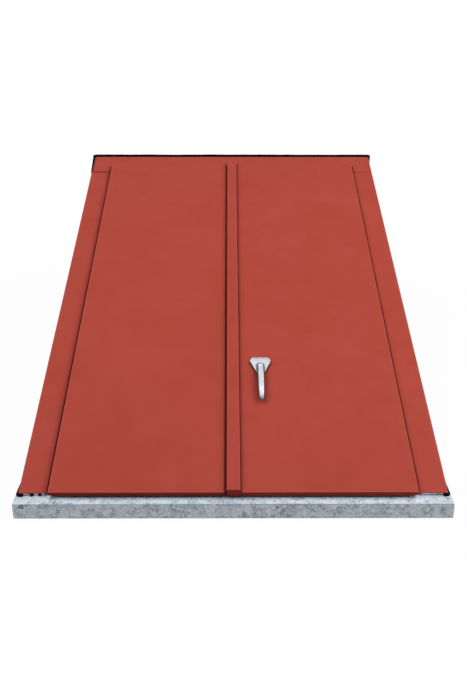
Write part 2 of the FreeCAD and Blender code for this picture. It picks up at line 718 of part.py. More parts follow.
def make_sill_seal(low_x, high_x):
    """Rubber strip on the threshold, cut to the slope of the leaf."""
    back = FRONT + SILL_DEPTH - THRESHOLD_BACK
    middle = back - GUTTER_SHEET / 2
    low = BASE_HEIGHT + THRESHOLD_HEIGHT - SEAL_GRIP
    blank = box(
        (low_x, middle - SEAL_WIDTH / 2, low), (high_x, middle + SEAL_WIDTH / 2, LONG)
    )
    below = box((-LONG, -LONG, -LONG), (LONG, LONG, LEAF_UNDER - SEAL_REST_GAP))
    strip = blank.common(on_slope(below))
    return strip.cut(make_threshold(low_x - PAST, high_x + PAST))


def make_header_seal(low_x, high_x):
    """Rubber strip on the header's front upstand."""
    start = HEADER_TROUGH + FRAME_SHEET / 2 - SEAL_WIDTH / 2
    low = HEADER_UPSTAND - SEAL_GRIP
    high = LEAF_UNDER - SEAL_REST_GAP
    strip = box((low_x, start, low), (high_x, start + SEAL_WIDTH, high))
    slot = box(
        (low_x - PAST, HEADER_TROUGH, low - PAST),
        (high_x + PAST, HEADER_TROUGH + FRAME_SHEET, HEADER_UPSTAND),
    )
    return on_slope(strip.cut(slot))


def make_centre_seal():
    """Rubber strip on the left leaf's inner lip, in the split between the leaves."""
    end = 2 * LEAF_EDGE_RADIUS
    high = CENTRE_SEAL_LOW + CENTRE_SEAL_HEIGHT
    strip = box(
        (LEFT_LEAF_INNER, LEAF_FRONT + end, CENTRE_SEAL_LOW),
        (RIGHT_LEAF_INNER - SEAL_REST_GAP, LEAF_REAR - end, high),
    )
    return on_slope(strip)


def head_outline(inset, height):
    """The head's rounded triangle, seen square to the leaf."""
    points = [
        (0, HEAD_ABOVE - inset),
        (HEAD_TOP_WIDTH / 2 - inset / 2, HEAD_ABOVE - inset),
        (HEAD_WIDTH / 2 - inset, HEAD_SHOULDER),
        (HEAD_FOOT_WIDTH / 2 - inset / 2, inset - HEAD_BELOW),
        (0, inset - HEAD_BELOW),
    ]
    right = rounded_edges(points, [HEAD_CORNER - inset / 2] * 3, place_on_leaf(height, 1))
    left = rounded_edges(points, [HEAD_CORNER - inset / 2] * 3, place_on_leaf(height, -1))
    return Part.Face(Part.Wire(Part.__sortEdges__(right + left)))


def place_on_leaf(height, side):
    return lambda x, s: vec(HANDLE_X + side * x, HANDLE_S + s, height)


def make_handle_head():
    """Cast head of the handle: raised rim, recessed face and a slot for the lever."""
    head = head_outline(0, HEAD_UNDER).extrude(vec(0, 0, HEAD_THICKNESS))
    rim = [edge for edge in head.Edges if edge.BoundBox.ZMin > HEAD_TOP - NEAR]
    head = head.makeFillet(HEAD_EDGE_RADIUS, rim)
    pocket = head_outline(HEAD_RIM, HEAD_TOP - HEAD_RECESS).extrude(vec(0, 0, HEAD_THICKNESS))
    slot = box(
        (HANDLE_X - SLOT_WIDTH / 2, HANDLE_S - HEAD_BELOW - PAST, HEAD_TOP - SLOT_DEPTH),
        (HANDLE_X + SLOT_WIDTH / 2, HANDLE_S + SLOT_ABOVE, HEAD_TOP + PAST),
    )
    return on_slope(head.cut(pocket).cut(slot))


def lever_section(along, width, thickness, height, lean):
    """A rounded section of the lever, square to its run."""
    centre = vec(HANDLE_X, HANDLE_S - along, height)
    up = vec(0, math.sin(lean), math.cos(lean))
    points = []
    for i in range(LEVER_POINTS):
        turn = 2 * math.pi * i / LEVER_POINTS
        c, s = math.cos(turn), math.sin(turn)
        across = math.copysign(abs(c) ** LEVER_SQUARENESS, c) * width / 2
        rise = math.copysign(abs(s) ** LEVER_SQUARENESS, s) * thickness / 2
        points.append(centre + vec(across, 0, 0) + up * rise)
    curve = Part.BSplineCurve()
    curve.interpolate(Points=points, PeriodicFlag=True)
    return Part.Wire([curve.toShape()])


def make_handle_lever():
    """Lever that rises from the head's slot and tapers to a rounded tip."""
    root = HEAD_TOP - SLOT_DEPTH + LEVER_SEAT + LEVER_THICKNESS / 2
    rise = LEAF_TOP + LEVER_STANDOFF + LEVER_THICKNESS / 2 - root
    sections = []
    for length, width, thickness, lift, lean in LEVER_STATIONS:
        section = lever_section(
            length * LEVER_LENGTH,
            width * LEVER_WIDTH,
            thickness * LEVER_THICKNESS,
            root + lift * rise,
            lean,
        )
        sections.append(section)
    return on_slope(Part.makeLoft(sections, True, False))


def make_spindle():
    """Turned spindle under the head, with a square end for the latch bar."""
    shank = upright_cylinder(HANDLE_X, HANDLE_S, LATCH_TOP, HEAD_UNDER, SPINDLE_RADIUS)
    half = SPINDLE_SQUARE / 2
    square = box(
        (HANDLE_X - half, HANDLE_S - half, LATCH_BOTTOM),
        (HANDLE_X + half, HANDLE_S + half, LATCH_TOP),
    )
    return on_slope(shank.fuse(square))


def make_spindle_bush():
    """Flanged bush that carries the spindle in the leaf."""
    tube = upright_cylinder(
        HANDLE_X, HANDLE_S, LEAF_TOP - BUSH_LENGTH, LEAF_TOP, BUSH_RADIUS
    )
    flange = upright_cylinder(
        HANDLE_X, HANDLE_S, LEAF_UNDER - BUSH_FLANGE, LEAF_UNDER, BUSH_FLANGE_RADIUS
    )
    bore = upright_cylinder(
        HANDLE_X,
        HANDLE_S,
        LEAF_TOP - BUSH_LENGTH - PAST,
        LEAF_TOP + PAST,
        SPINDLE_RADIUS + SPINDLE_CLEARANCE,
    )
    return on_slope(tube.fuse(flange).cut(bore))


def make_latch_bar():
    """Bar on the spindle that turns under the left leaf's lip."""
    half = LATCH_WIDTH / 2
    end = HANDLE_S + LATCH_REACH - half
    bar = box((HANDLE_X - half, HANDLE_S, LATCH_BOTTOM), (HANDLE_X + half, end, LATCH_TOP))
    near = upright_cylinder(HANDLE_X, HANDLE_S, LATCH_BOTTOM, LATCH_TOP, half)
    far = upright_cylinder(HANDLE_X, end, LATCH_BOTTOM, LATCH_TOP, half)
    side = SPINDLE_SQUARE / 2
    hole = box(
        (HANDLE_X - side, HANDLE_S - side, LATCH_BOTTOM - PAST),
        (HANDLE_X + side, HANDLE_S + side, LATCH_TOP + PAST),
    )
    return on_slope(bar.fuse([near, far]).cut(hole).removeSplitter())


def make_latch_strike():
    """Angle on the left leaf's inner lip that the latch bar catches."""
    face = LEFT_LEAF_INNER - LEAF_SHEET
    low, high = HANDLE_S - STRIKE_LENGTH / 2, HANDLE_S + STRIKE_LENGTH / 2
    top = LEAF_TOP - LEAF_EDGE_RADIUS
    leg = box((face - STRIKE_SHEET, low, LEAF_LIP_BOTTOM), (face, high, top))
    ledge = box(
        (face - STRIKE_WIDTH, low, LEAF_LIP_BOTTOM),
        (face, high, LEAF_LIP_BOTTOM + STRIKE_SHEET),
    )
    return on_slope(leg.fuse(ledge).removeSplitter())


def export_base():
    export("base_front_rail", make_base_front_rail())
    rail = make_base_side_rail()
    export("base_right_rail", rail)
    export("base_left_rail", mirrored(rail))
    corner = make_base_corner()
    export("base_right_corner_plate", corner)
    export("base_left_corner_plate", mirrored(corner))


def export_frame():
    panel = make_side_panel()
    gutter = make_gutter()
    seal = make_base_seal()
    wall_seal = make_wall_seal_side()
    export("right_side_panel", panel)
    export("left_side_panel", mirrored(panel))
    export("right_gutter", gutter)
    export("left_gutter", mirrored(gutter))
    export("right_base_seal", seal)
    export("left_base_seal", mirrored(seal))
    export("right_front_closure", make_closure([]))
    export("left_front_closure", mirrored(make_closure(CLOSURE_SLOTS)))
    export("header", make_header())
    export("wall_seal_top", make_wall_seal_top())
    export("left_end_seal", make_end_seal())
    export("right_wall_seal", wall_seal)
    export("left_wall_seal", mirrored(wall_seal))


def export_thresholds():
    clear = SEAL_END_CLEARANCE + LEAF_SHEET
    spans = [
        (-TROUGH_HALF + SEAL_WIDTH, LEFT_LEAF_INNER - clear),
        (RIGHT_LEAF_INNER + clear, TROUGH_HALF - SEAL_WIDTH),
    ]
    makers = {
        "thresholds": make_threshold,
        "sill_seals": make_sill_seal,
        "header_seals": make_header_seal,
    }
    for name, maker in makers.items():
        export(name, Part.makeCompound([maker(low, high) for low, high in spans]))


def export_hinges():
    makers = {
        "hinge_brackets": make_hinge_bracket,
        "hinge_straps": make_hinge_strap,
        "hinge_pins": make_hinge_pin,
    }
    for name, maker in makers.items():
        three = Part.makeCompound([maker(place) for place in HINGE_PLACES])
        export("right_" + name, three)
        export("left_" + name, mirrored(three))


def export_leaves():
    export("left_leaf_panel", make_left_leaf())
    export("right_leaf_panel", make_right_leaf())
    outer = LEAF_SIDE - STIFFENER_SIDE_CLEARANCE
    step = LEAF_REAR / (STIFFENER_COUNT + 1)
    for i in range(STIFFENER_COUNT):
        place = step * (i + 1)
        left = make_stiffener(-outer, LEFT_LEAF_INNER - STIFFENER_INNER_CLEARANCE, place)
        right = make_stiffener(RIGHT_LEAF_INNER + STIFFENER_INNER_CLEARANCE, outer, place)
        export("left_stiffener_" + str(i + 1), left)
        export("right_stiffener_" + str(i + 1), right)
    export("cover_strip", make_cover_strip())
    export("latch_strike", make_latch_strike())
    export("centre_seal", make_centre_seal())


def export_handle():
    export("handle_head", make_handle_head())
    export("handle_lever", make_handle_lever())
    export("handle_spindle", make_spindle())
    export("spindle_bush", make_spindle_bush())
    export("latch_bar", make_latch_bar())


def main():
    export_base()
    export_frame()
    export_thresholds()
    export_hinges()
    export_leaves()
    export_handle()


main()
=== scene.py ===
# %% [markdown]
# # A sloping cellar door, dressed from its CAD frame
# The frame holds the sheet metal as it was built: two leaves on a sloping frame, on a
# galvanised base. This script loads it, gives every surface a worked finish, and adds what
# a drawing office leaves out: castings with soft edges, rubber, fasteners and welds.

# %% Load the frame
import json
import math
import random
import bpy
import bmesh
from mathutils import Matrix, Vector

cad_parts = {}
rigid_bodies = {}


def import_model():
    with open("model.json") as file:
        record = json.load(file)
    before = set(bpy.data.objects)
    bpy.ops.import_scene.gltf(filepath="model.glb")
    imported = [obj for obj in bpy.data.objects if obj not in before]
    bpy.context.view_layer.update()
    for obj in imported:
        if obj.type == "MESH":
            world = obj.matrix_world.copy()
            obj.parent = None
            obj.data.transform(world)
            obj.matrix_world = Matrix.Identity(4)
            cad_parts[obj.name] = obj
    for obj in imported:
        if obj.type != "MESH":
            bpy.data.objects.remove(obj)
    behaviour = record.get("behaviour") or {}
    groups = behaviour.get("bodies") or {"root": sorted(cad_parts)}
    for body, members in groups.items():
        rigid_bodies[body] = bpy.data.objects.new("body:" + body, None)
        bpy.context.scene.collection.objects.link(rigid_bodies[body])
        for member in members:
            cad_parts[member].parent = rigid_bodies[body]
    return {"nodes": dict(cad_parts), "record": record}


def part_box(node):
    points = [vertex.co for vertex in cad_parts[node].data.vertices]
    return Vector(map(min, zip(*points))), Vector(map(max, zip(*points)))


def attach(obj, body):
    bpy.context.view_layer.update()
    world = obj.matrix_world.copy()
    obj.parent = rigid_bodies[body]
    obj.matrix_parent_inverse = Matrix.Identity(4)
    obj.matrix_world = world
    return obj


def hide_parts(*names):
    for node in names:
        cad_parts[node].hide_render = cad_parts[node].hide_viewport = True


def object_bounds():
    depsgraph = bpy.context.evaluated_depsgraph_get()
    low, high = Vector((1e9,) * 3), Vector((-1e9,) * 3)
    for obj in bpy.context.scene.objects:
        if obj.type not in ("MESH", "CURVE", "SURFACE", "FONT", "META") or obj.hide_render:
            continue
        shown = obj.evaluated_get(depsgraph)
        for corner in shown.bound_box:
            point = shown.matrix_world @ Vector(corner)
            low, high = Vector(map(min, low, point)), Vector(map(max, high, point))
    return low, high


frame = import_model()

cad_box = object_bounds()
nodes = frame["nodes"]
print("box in metres:", [[round(v, 3) for v in corner] for corner in cad_box])

# %% [markdown]
# ## A ruler that lies on the slope
# Most pieces of a cellar door lie on one sloping plane. It is far easier to place them with
# a distance across, a distance up the slope and a height above it than with level
# coordinates. The hinge axis gives the direction up the slope, and the handle's axis gives
# the direction out of it, so both are read from the frame's own joints.

# %% Slope helpers
MM = 0.001
joints = {joint["name"]: joint for joint in frame["record"]["behaviour"]["joints"]}
UP_SLOPE = Vector(joints["right_leaf_hinge"]["axis"]).normalized()
OUT = Vector(joints["handle_turn"]["axis"]).normalized()
HINGE = Vector(joints["right_leaf_hinge"]["pos_m"])
HANDLE = Vector(joints["handle_turn"]["pos_m"])
HINGE_ALONG = 962.0
HINGE_OUT = 10.0
ORIGIN = HINGE - UP_SLOPE * HINGE_ALONG * MM - OUT * HINGE_OUT * MM
ORIGIN.x = 0.0
SLOPE_TURN = Matrix((Vector((1, 0, 0)), UP_SLOPE, OUT)).transposed().to_4x4()
ON_SLOPE = Matrix.Translation(ORIGIN) @ SLOPE_TURN


def on_slope(x, along, out):
    """A point in millimetres across, up the slope and out of it, as world metres."""
    return ON_SLOPE @ (Vector((x, along, out)) * MM)


print("slope in degrees:", round(math.degrees(math.atan2(UP_SLOPE.z, UP_SLOPE.y)), 2))

# %% [markdown]
# ## Small helpers for node trees
# Shader and geometry trees are built by hand in the script, so that every value can be read
# and changed in one place. Short functions keep that readable: one adds a node and fills its
# sockets, one makes a node group with named sockets, and a few give a sum or a mask a name.

# %% Node helpers
def add_node(tree, kind, settings=None, **sockets):
    """Adds a node. A socket goes by its name, or by _ and its number, and its value may be a
    number, a colour or another node's output."""
    node = tree.nodes.new(kind)
    for key, value in (settings or {}).items():
        setattr(node, key, value)
    for name, value in sockets.items():
        key = int(name[1:]) if name.startswith("_") else name.replace("_", " ")
        socket = node.inputs[key]
        if isinstance(value, bpy.types.NodeSocket):
            tree.links.new(value, socket)
        else:
            socket.default_value = value
    return node


def make_group(name, kind, inputs, outputs):
    """A node group with named sockets; returns the tree, its input node and output node."""
    tree = bpy.data.node_groups.new(name, kind)
    for socket_name, socket_type, default in inputs:
        socket = tree.interface.new_socket(socket_name, in_out="INPUT", socket_type=socket_type)
        if default is not None:
            socket.default_value = default
    for socket_name, socket_type in outputs:
        tree.interface.new_socket(socket_name, in_out="OUTPUT", socket_type=socket_type)
    return tree, tree.nodes.new("NodeGroupInput"), tree.nodes.new("NodeGroupOutput")


def use_group(tree, group, **sockets):
    """Places a shader group in a tree."""
    return add_node(tree, "ShaderNodeGroup", {"node_tree": group}, **sockets)


def math_node(tree, operation, *values):
    """The result of a maths node on numbers or sockets."""
    sockets = {"_%d" % i: value for i, value in enumerate(values)}
    return add_node(tree, "ShaderNodeMath", {"operation": operation}, **sockets).outputs[0]


def vector_node(tree, operation, *values):
    """The same for vectors. Dot products, distances and lengths come out as numbers."""
    sockets = {"_%d" % i: value for i, value in enumerate(values)}
    node = add_node(tree, "ShaderNodeVectorMath", {"operation": operation}, **sockets)
    number = operation in ("DOT_PRODUCT", "DISTANCE", "LENGTH")
    return node.outputs["Value"] if number else node.outputs[0]


def split(tree, vector):
    """The X, Y and Z of a vector, as three sockets."""
    return tuple(add_node(tree, "ShaderNodeSeparateXYZ", Vector=vector).outputs)


# %% Mask helpers
def map_value(tree, value, low, high, to_low, to_high):
    """Carries low to to_low and high to to_high, and stays level beyond them."""
    node = add_node(tree, "ShaderNodeMapRange", Value=value, From_Min=low, From_Max=high,
                    To_Min=to_low, To_Max=to_high)
    return node.outputs[0]


def share_of(tree, mask, share):
    """A mask made fainter."""
    return map_value(tree, mask, 0.0, 1.0, 0.0, share)


def band(tree, value, rise_from, rise_to, fall_from, fall_to, top=1.0):
    """A mask that rises between the first two values and falls between the last two."""
    return math_node(tree, "MULTIPLY", map_value(tree, value, rise_from, rise_to, 0.0, top),
                     map_value(tree, value, fall_from, fall_to, 1.0, 0.0))


def mix_colour(tree, mask, first, second):
    """Goes from the first colour to the second as the mask goes from 0 to 1."""
    node = tree.nodes.new("ShaderNodeMix")
    node.data_type = "RGBA"
    for index, value in ((0, mask), (6, first), (7, second)):  # 6 and 7 take colours
        if isinstance(value, bpy.types.NodeSocket):
            tree.links.new(value, node.inputs[index])
        else:
            node.inputs[index].default_value = value
    return node.outputs[2]


def lay_over(tree, colour, coats):
    """Lays coats over a colour, one after the other. Each is a mask and a colour."""
    for mask, coat in coats:
        colour = mix_colour(tree, mask, colour, coat)
    return colour


# %% [markdown]
# ## Effects that several finishes share
# Paint, zinc and rubber all vary a little from place to place: slow clouds over a hand's
# breadth and a finer grain on top. One group of noise turned into a soft mask serves them
# all. It reads object coordinates, which for these pieces are plain metres.

# %% Group: clouds
FLOAT = "NodeSocketFloat"
VECTOR = "NodeSocketVector"

clouds, group_in, group_out = make_group(
    "clouds", "ShaderNodeTree",
    [("Scale", FLOAT, 10.0), ("Detail", FLOAT, 3.0), ("From", FLOAT, 0.3), ("To", FLOAT, 0.7),
     ("Stretch", VECTOR, (1.0, 1.0, 1.0))],
    [("Mask", FLOAT)])
place = add_node(clouds, "ShaderNodeTexCoord").outputs["Object"]
place = vector_node(clouds, "MULTIPLY", place, group_in.outputs["Stretch"])
noise = add_node(clouds, "ShaderNodeTexNoise", Vector=place, Scale=group_in.outputs["Scale"],
                 Detail=group_in.outputs["Detail"], Roughness=0.55)
mask = add_node(clouds, "ShaderNodeMapRange", {"interpolation_type": "SMOOTHSTEP"},
                Value=noise.outputs[0], From_Min=group_in.outputs["From"],
                From_Max=group_in.outputs["To"])
clouds.links.new(mask.outputs[0], group_out.inputs["Mask"])
print("group clouds:", len(clouds.nodes), "nodes")

# %% [markdown]
# A stain or a rust mark sits at one place. The spot group measures the distance to that
# place and wobbles it with noise, so that the edge is ragged as on real metal.

# %% Group: spot
SPOT_GRAIN = 250.0
spot, group_in, group_out = make_group(
    "spot", "ShaderNodeTree",
    [("Place", VECTOR, (0.0, 0.0, 0.0)), ("Radius", FLOAT, 0.01), ("Ragged", FLOAT, 0.004)],
    [("Mask", FLOAT)])
place = add_node(spot, "ShaderNodeTexCoord").outputs["Object"]
wobble = add_node(spot, "ShaderNodeTexNoise", Vector=place, Scale=SPOT_GRAIN,
                  Detail=3.0).outputs[0]
away = vector_node(spot, "DISTANCE", place, group_in.outputs["Place"])
away = math_node(spot, "MULTIPLY_ADD", wobble, group_in.outputs["Ragged"], away)
mask = add_node(spot, "ShaderNodeMapRange", {"interpolation_type": "SMOOTHSTEP"},
                Value=away, From_Min=group_in.outputs["Radius"], From_Max=0.0)
spot.links.new(mask.outputs[0], group_out.inputs["Mask"])
print("group spot:", len(spot.nodes), "nodes")

# %% [markdown]
# Sprayed paint and cast metal both have a skin that is not quite flat. The skin group adds
# a coarse and a fine noise and hands out one height, for a Bump node in the material.

# %% Group: skin
FINE_SHARE = 0.3
skin, group_in, group_out = make_group(
    "skin", "ShaderNodeTree", [("Coarse", FLOAT, 60.0), ("Fine", FLOAT, 600.0)],
    [("Height", FLOAT)])
place = add_node(skin, "ShaderNodeTexCoord").outputs["Object"]
height = add_node(skin, "ShaderNodeMix", {"data_type": "FLOAT"}, Factor=FINE_SHARE)
for index, key in ((2, "Coarse"), (3, "Fine")):  # 2 and 3 take numbers
    noise = add_node(skin, "ShaderNodeTexNoise", Vector=place, Scale=group_in.outputs[key],
                     Detail=2.0)
    skin.links.new(noise.outputs[0], height.inputs[index])
skin.links.new(height.outputs[0], group_out.inputs["Height"])
print("group skin:", len(skin.nodes), "nodes")

# %% [markdown]
# Shade falls where two faces meet. The crease group looks around each point for nearby
# surfaces and turns what it finds into a mask for painted shade: 1 in a corner, 0 on an open
# face.

# %% Group: crease
CREASE_REACH = {"Wide": 0.030, "Tight": 0.009}
crease, group_in, group_out = make_group(
    "crease", "ShaderNodeTree", [("Open", FLOAT, 0.95), ("Closed", FLOAT, 0.4)],
    [("Wide", FLOAT), ("Tight", FLOAT)])
# each mask is painted shade from surfaces nearby
for key, distance in CREASE_REACH.items():
    around = add_node(crease, "ShaderNodeAmbientOcclusion", {"samples": 8}, Distance=distance)
    mask = add_node(crease, "ShaderNodeMapRange", Value=around.outputs["AO"],
                    From_Min=group_in.outputs["Open"], From_Max=group_in.outputs["Closed"])
    crease.links.new(mask.outputs[0], group_out.inputs[key])
print("group crease:", len(crease.nodes), "nodes")

# %% [markdown]
# ## Finishes
# Every material ends in one Principled shader. What is the same all over, such as the
# specular level, is typed on the shader itself; what changes over the surface comes in
# through masks.

# %% Material helpers
def srgb(red, green, blue):
    """A colour as seen on screen, 0 to 255, as the linear colour that Blender expects."""
    linear = []
    for value in (red, green, blue):
        share = value / 255
        linear.append(share / 12.92 if share <= 0.04045 else ((share + 0.055) / 1.055) ** 2.4)
    return (*linear, 1.0)


def new_material(name, **fixed):
    """A material with its shader. Values that are the same all over go on its sockets."""
    material = bpy.data.materials.new(name)
    material.use_nodes = True
    tree = material.node_tree
    shader = tree.nodes["Principled BSDF"]
    for socket, value in fixed.items():
        shader.inputs[socket.replace("_", " ")].default_value = value
    return material, tree, shader


def bump(tree, shader, height, strength, distance):
    """Lets a height tilt the shader's normal."""
    node = add_node(tree, "ShaderNodeBump", Height=height, Strength=strength,
                    Distance=distance)
    tree.links.new(node.outputs[0], shader.inputs["Normal"])


# %% [markdown]
# ### Red primer paint
# The sheet metal is sprayed in a satin red primer. On the real door the colour is very
# even, with faint warm and cool clouds and a slight orange peel. A hard texture would look
# like rust, so the clouds differ by only a few percent.

# %% Material: red paint, the even coat
RED = srgb(177, 73, 60)
RED_COOL = srgb(180, 76, 65)
RED_DEEP = srgb(172, 69, 56)

red_paint, tree, shader = new_material("red_paint", Specular_IOR_Level=0.04)
wide = use_group(tree, clouds, Scale=4.0, Detail=2.0, From=0.35, To=0.65).outputs[0]
hand = use_group(tree, clouds, Scale=14.0, Detail=3.0, From=0.42, To=0.72).outputs[0]
grain = use_group(tree, clouds, Scale=160.0, Detail=2.0, From=0.3, To=0.7).outputs[0]
even_coat = lay_over(tree, RED, [
    (wide, RED_COOL), (share_of(tree, hand, 0.35), RED_DEEP),
    (share_of(tree, grain, 0.08), RED_DEEP)])
tree.links.new(map_value(tree, hand, 0, 1, 0.50, 0.58), shader.inputs["Roughness"])
peel = use_group(tree, skin, Coarse=90.0, Fine=700.0).outputs[0]
bump(tree, shader, peel, 0.12, 0.0003)
print("red paint, even coat:", len(tree.nodes), "nodes")

# %% [markdown]
# The way a face looks decides where light and shade are painted. The normal's share down the
# slope finds the lower edges and the lips, and its share sideways finds the side edges. Edges
# and the header's lap near the house get a painted highlight, and the lips near the ground get
# painted shade.

# %% Red paint: painted edge highlights and painted lip shade
RED_LIP_SHADE = srgb(120, 30, 14)
RED_HIGHLIGHT = srgb(222, 124, 112)

place = add_node(tree, "ShaderNodeTexCoord")
across, _, level = split(tree, place.outputs["Object"])
from_middle = math_node(tree, "ABSOLUTE", across)
down = vector_node(tree, "DOT_PRODUCT", place.outputs["Normal"], tuple(-UP_SLOPE))
sideways = math_node(tree, "ABSOLUTE", split(tree, place.outputs["Normal"])[0])
# painted highlight on the lower and side edges
edge_highlight = math_node(tree, "MAXIMUM", band(tree, down, 0.08, 0.2, 0.45, 0.65, top=0.5),
                   band(tree, sideways, 0.08, 0.2, 0.5, 0.7, top=0.3))
near_ground = map_value(tree, level, 0.10, 0.12, 1.0, 0.0)
# painted shade on the lips near the ground
lip = math_node(tree, "MULTIPLY", near_ground, map_value(tree, down, 0.5, 0.9, 0.0, 0.6))
near_house = map_value(tree, level, 0.50, 0.52, 0.0, 1.0)
# painted highlight on the header's lap face
lap_highlight = math_node(tree, "MULTIPLY", near_house, map_value(tree, down, 0.5, 0.9, 0.0, 0.85))
# painted highlight on the gutters' side walls
gutter_highlight = math_node(tree, "MULTIPLY", map_value(tree, sideways, 0.8, 0.95, 0.0, 0.5),
                   band(tree, from_middle, 0.545, 0.550, 0.570, 0.575))
coat_with_painted_light = lay_over(tree, even_coat, [
    (edge_highlight, RED_HIGHLIGHT), (lip, RED_LIP_SHADE), (lap_highlight, RED_HIGHLIGHT)])
print("red paint, worn coat:", len(tree.nodes), "nodes")

# %% [markdown]
# Painted shade lies in the creases, strongest on the left of the strip, and it fades towards
# the right gutter. The gutters' own walls get a painted highlight.

# %% Red paint: painted shade in the creases
RED_CREASE_SHADE = srgb(96, 30, 20)

# painted shade: the crease masks darken the paint where faces meet, more on the left
corner = use_group(tree, crease, Open=0.93, Closed=0.5)
shade_fade = map_value(tree, across, 0.30, 0.50, 1.0, 0.30)
left_shade = math_node(tree, "MULTIPLY", map_value(tree, across, -0.03, 0.03, 1.0, 0.55), shade_fade)
wide_shade = math_node(tree, "MULTIPLY", share_of(tree, corner.outputs["Wide"], 0.9), left_shade)
tight_shade = math_node(tree, "MULTIPLY", share_of(tree, corner.outputs["Tight"], 0.65),
                       shade_fade)
colour = lay_over(tree, coat_with_painted_light, [
    (wide_shade, RED_CREASE_SHADE), (tight_shade, RED_CREASE_SHADE), (gutter_highlight, RED_HIGHLIGHT)])
tree.links.new(colour, shader.inputs["Base Color"])
print("red paint:", len(tree.nodes), "nodes")

# %% [markdown]
# ### Hot-dip zinc
# Dipped steel freezes into flat crystals, the spangle, a centimetre or so wide, each with
# its own grey. Voronoi cells give the crystals; a noise bends their borders so that they
# don't look like tiles. Dull clouds, fine cracks and pits go on top.

# %% Material: galvanised zinc, the spangle
ZINC_LIGHT = srgb(222, 231, 240)
ZINC_MID = srgb(196, 207, 217)
ZINC_DARK = srgb(148, 162, 174)
ZINC_CRACK_AND_SHADE = srgb(98, 108, 116)
SPANGLE_SCALE = 95.0
SPANGLE_BEND = (0.03, 0.03, 0.03)

zinc, tree, shader = new_material("galvanised_zinc", Specular_IOR_Level=0.4)
place = add_node(tree, "ShaderNodeTexCoord")
bend = add_node(tree, "ShaderNodeTexNoise", Vector=place.outputs["Object"], Scale=55.0,
                Detail=4.0).outputs["Color"]
bend = vector_node(tree, "MULTIPLY_ADD", bend, SPANGLE_BEND, place.outputs["Object"])
crystal = add_node(tree, "ShaderNodeTexVoronoi", Vector=bend, Scale=SPANGLE_SCALE)
tone = add_node(tree, "ShaderNodeSeparateColor", Color=crystal.outputs["Color"]).outputs[0]
border = add_node(tree, "ShaderNodeTexVoronoi", {"feature": "DISTANCE_TO_EDGE"}, Vector=bend,
                  Scale=SPANGLE_SCALE).outputs["Distance"]
cloud = use_group(tree, clouds, Scale=22.0, Detail=4.0, From=0.35, To=0.68).outputs[0]
dull = use_group(tree, clouds, Scale=60.0, Detail=4.0, From=0.5, To=0.72).outputs[0]
pits = use_group(tree, clouds, Scale=240.0, Detail=3.0, From=0.56, To=0.7).outputs[0]
cracked = use_group(tree, clouds, Scale=34.0, Detail=3.0, From=0.45, To=0.6).outputs[0]
crack = math_node(tree, "MULTIPLY", map_value(tree, border, 0.02, 0.12, 1.0, 0.0), cracked)
spangle = lay_over(tree, ZINC_MID, [
    (tone, ZINC_LIGHT), (share_of(tree, cloud, 0.45), ZINC_MID),
    (share_of(tree, dull, 0.7), ZINC_DARK), (share_of(tree, crack, 0.75), ZINC_CRACK_AND_SHADE),
    (share_of(tree, pits, 0.65), ZINC_CRACK_AND_SHADE)])
tree.links.new(map_value(tree, tone, 0, 1, 0.62, 0.42), shader.inputs["Roughness"])
tree.links.new(map_value(tree, dull, 0, 1, 0.25, 0.1), shader.inputs["Metallic"])
bump(tree, shader, use_group(tree, skin, Coarse=110.0, Fine=500.0).outputs[0], 0.35, 0.0008)
print("zinc, spangle:", len(tree.nodes), "nodes")

# %% [markdown]
# The strip under the leaves' front lips gets painted light, brighter and bluer, multiplied
# by a factor that keeps the spangle. The bend at the front edge gets painted shade, and so
# does the inside of the sections.

# %% Zinc: painted light under the lips, painted shade on the bend and inside
UNDER_LIP_LIGHT_FACTOR = (1.38, 1.48, 1.54)
ZINC_SHADE = srgb(22, 24, 27)

across, depth, _ = split(tree, place.outputs["Object"])
# painted light on the base top under the lips
under_lip_light = math_node(
    tree, "MULTIPLY",
    map_value(tree, math_node(tree, "ABSOLUTE", across), 0.550, 0.572, 0.9, 0.0),
    map_value(tree, depth, -0.990, -0.975, 0.0, 1.0))
lifted_spangle = vector_node(tree, "MULTIPLY", spangle, UNDER_LIP_LIGHT_FACTOR)
ahead = vector_node(tree, "DOT_PRODUCT", place.outputs["Normal"], (0.0, -1.0, 0.0))
# painted shade on the faces of the front bend
bend_shade = band(tree, ahead, 0.1, 0.35, 0.85, 1.0)
# painted shade inside the sections
inside_shade = use_group(tree, crease, Open=0.45, Closed=0.1).outputs["Wide"]
colour = lay_over(tree, spangle, [
    (under_lip_light, lifted_spangle), (share_of(tree, bend_shade, 0.75), ZINC_CRACK_AND_SHADE),
    (share_of(tree, inside_shade, 0.9), ZINC_SHADE)])
print("zinc, wear:", len(tree.nodes), "nodes")

# %% [markdown]
# Stains, painted shadows of the closure's slots, the painted shade of a small screw hole and
# one rust mark sit at places of their own. Each is a spot laid over the zinc, so that the
# table below can be read like a list of marks.

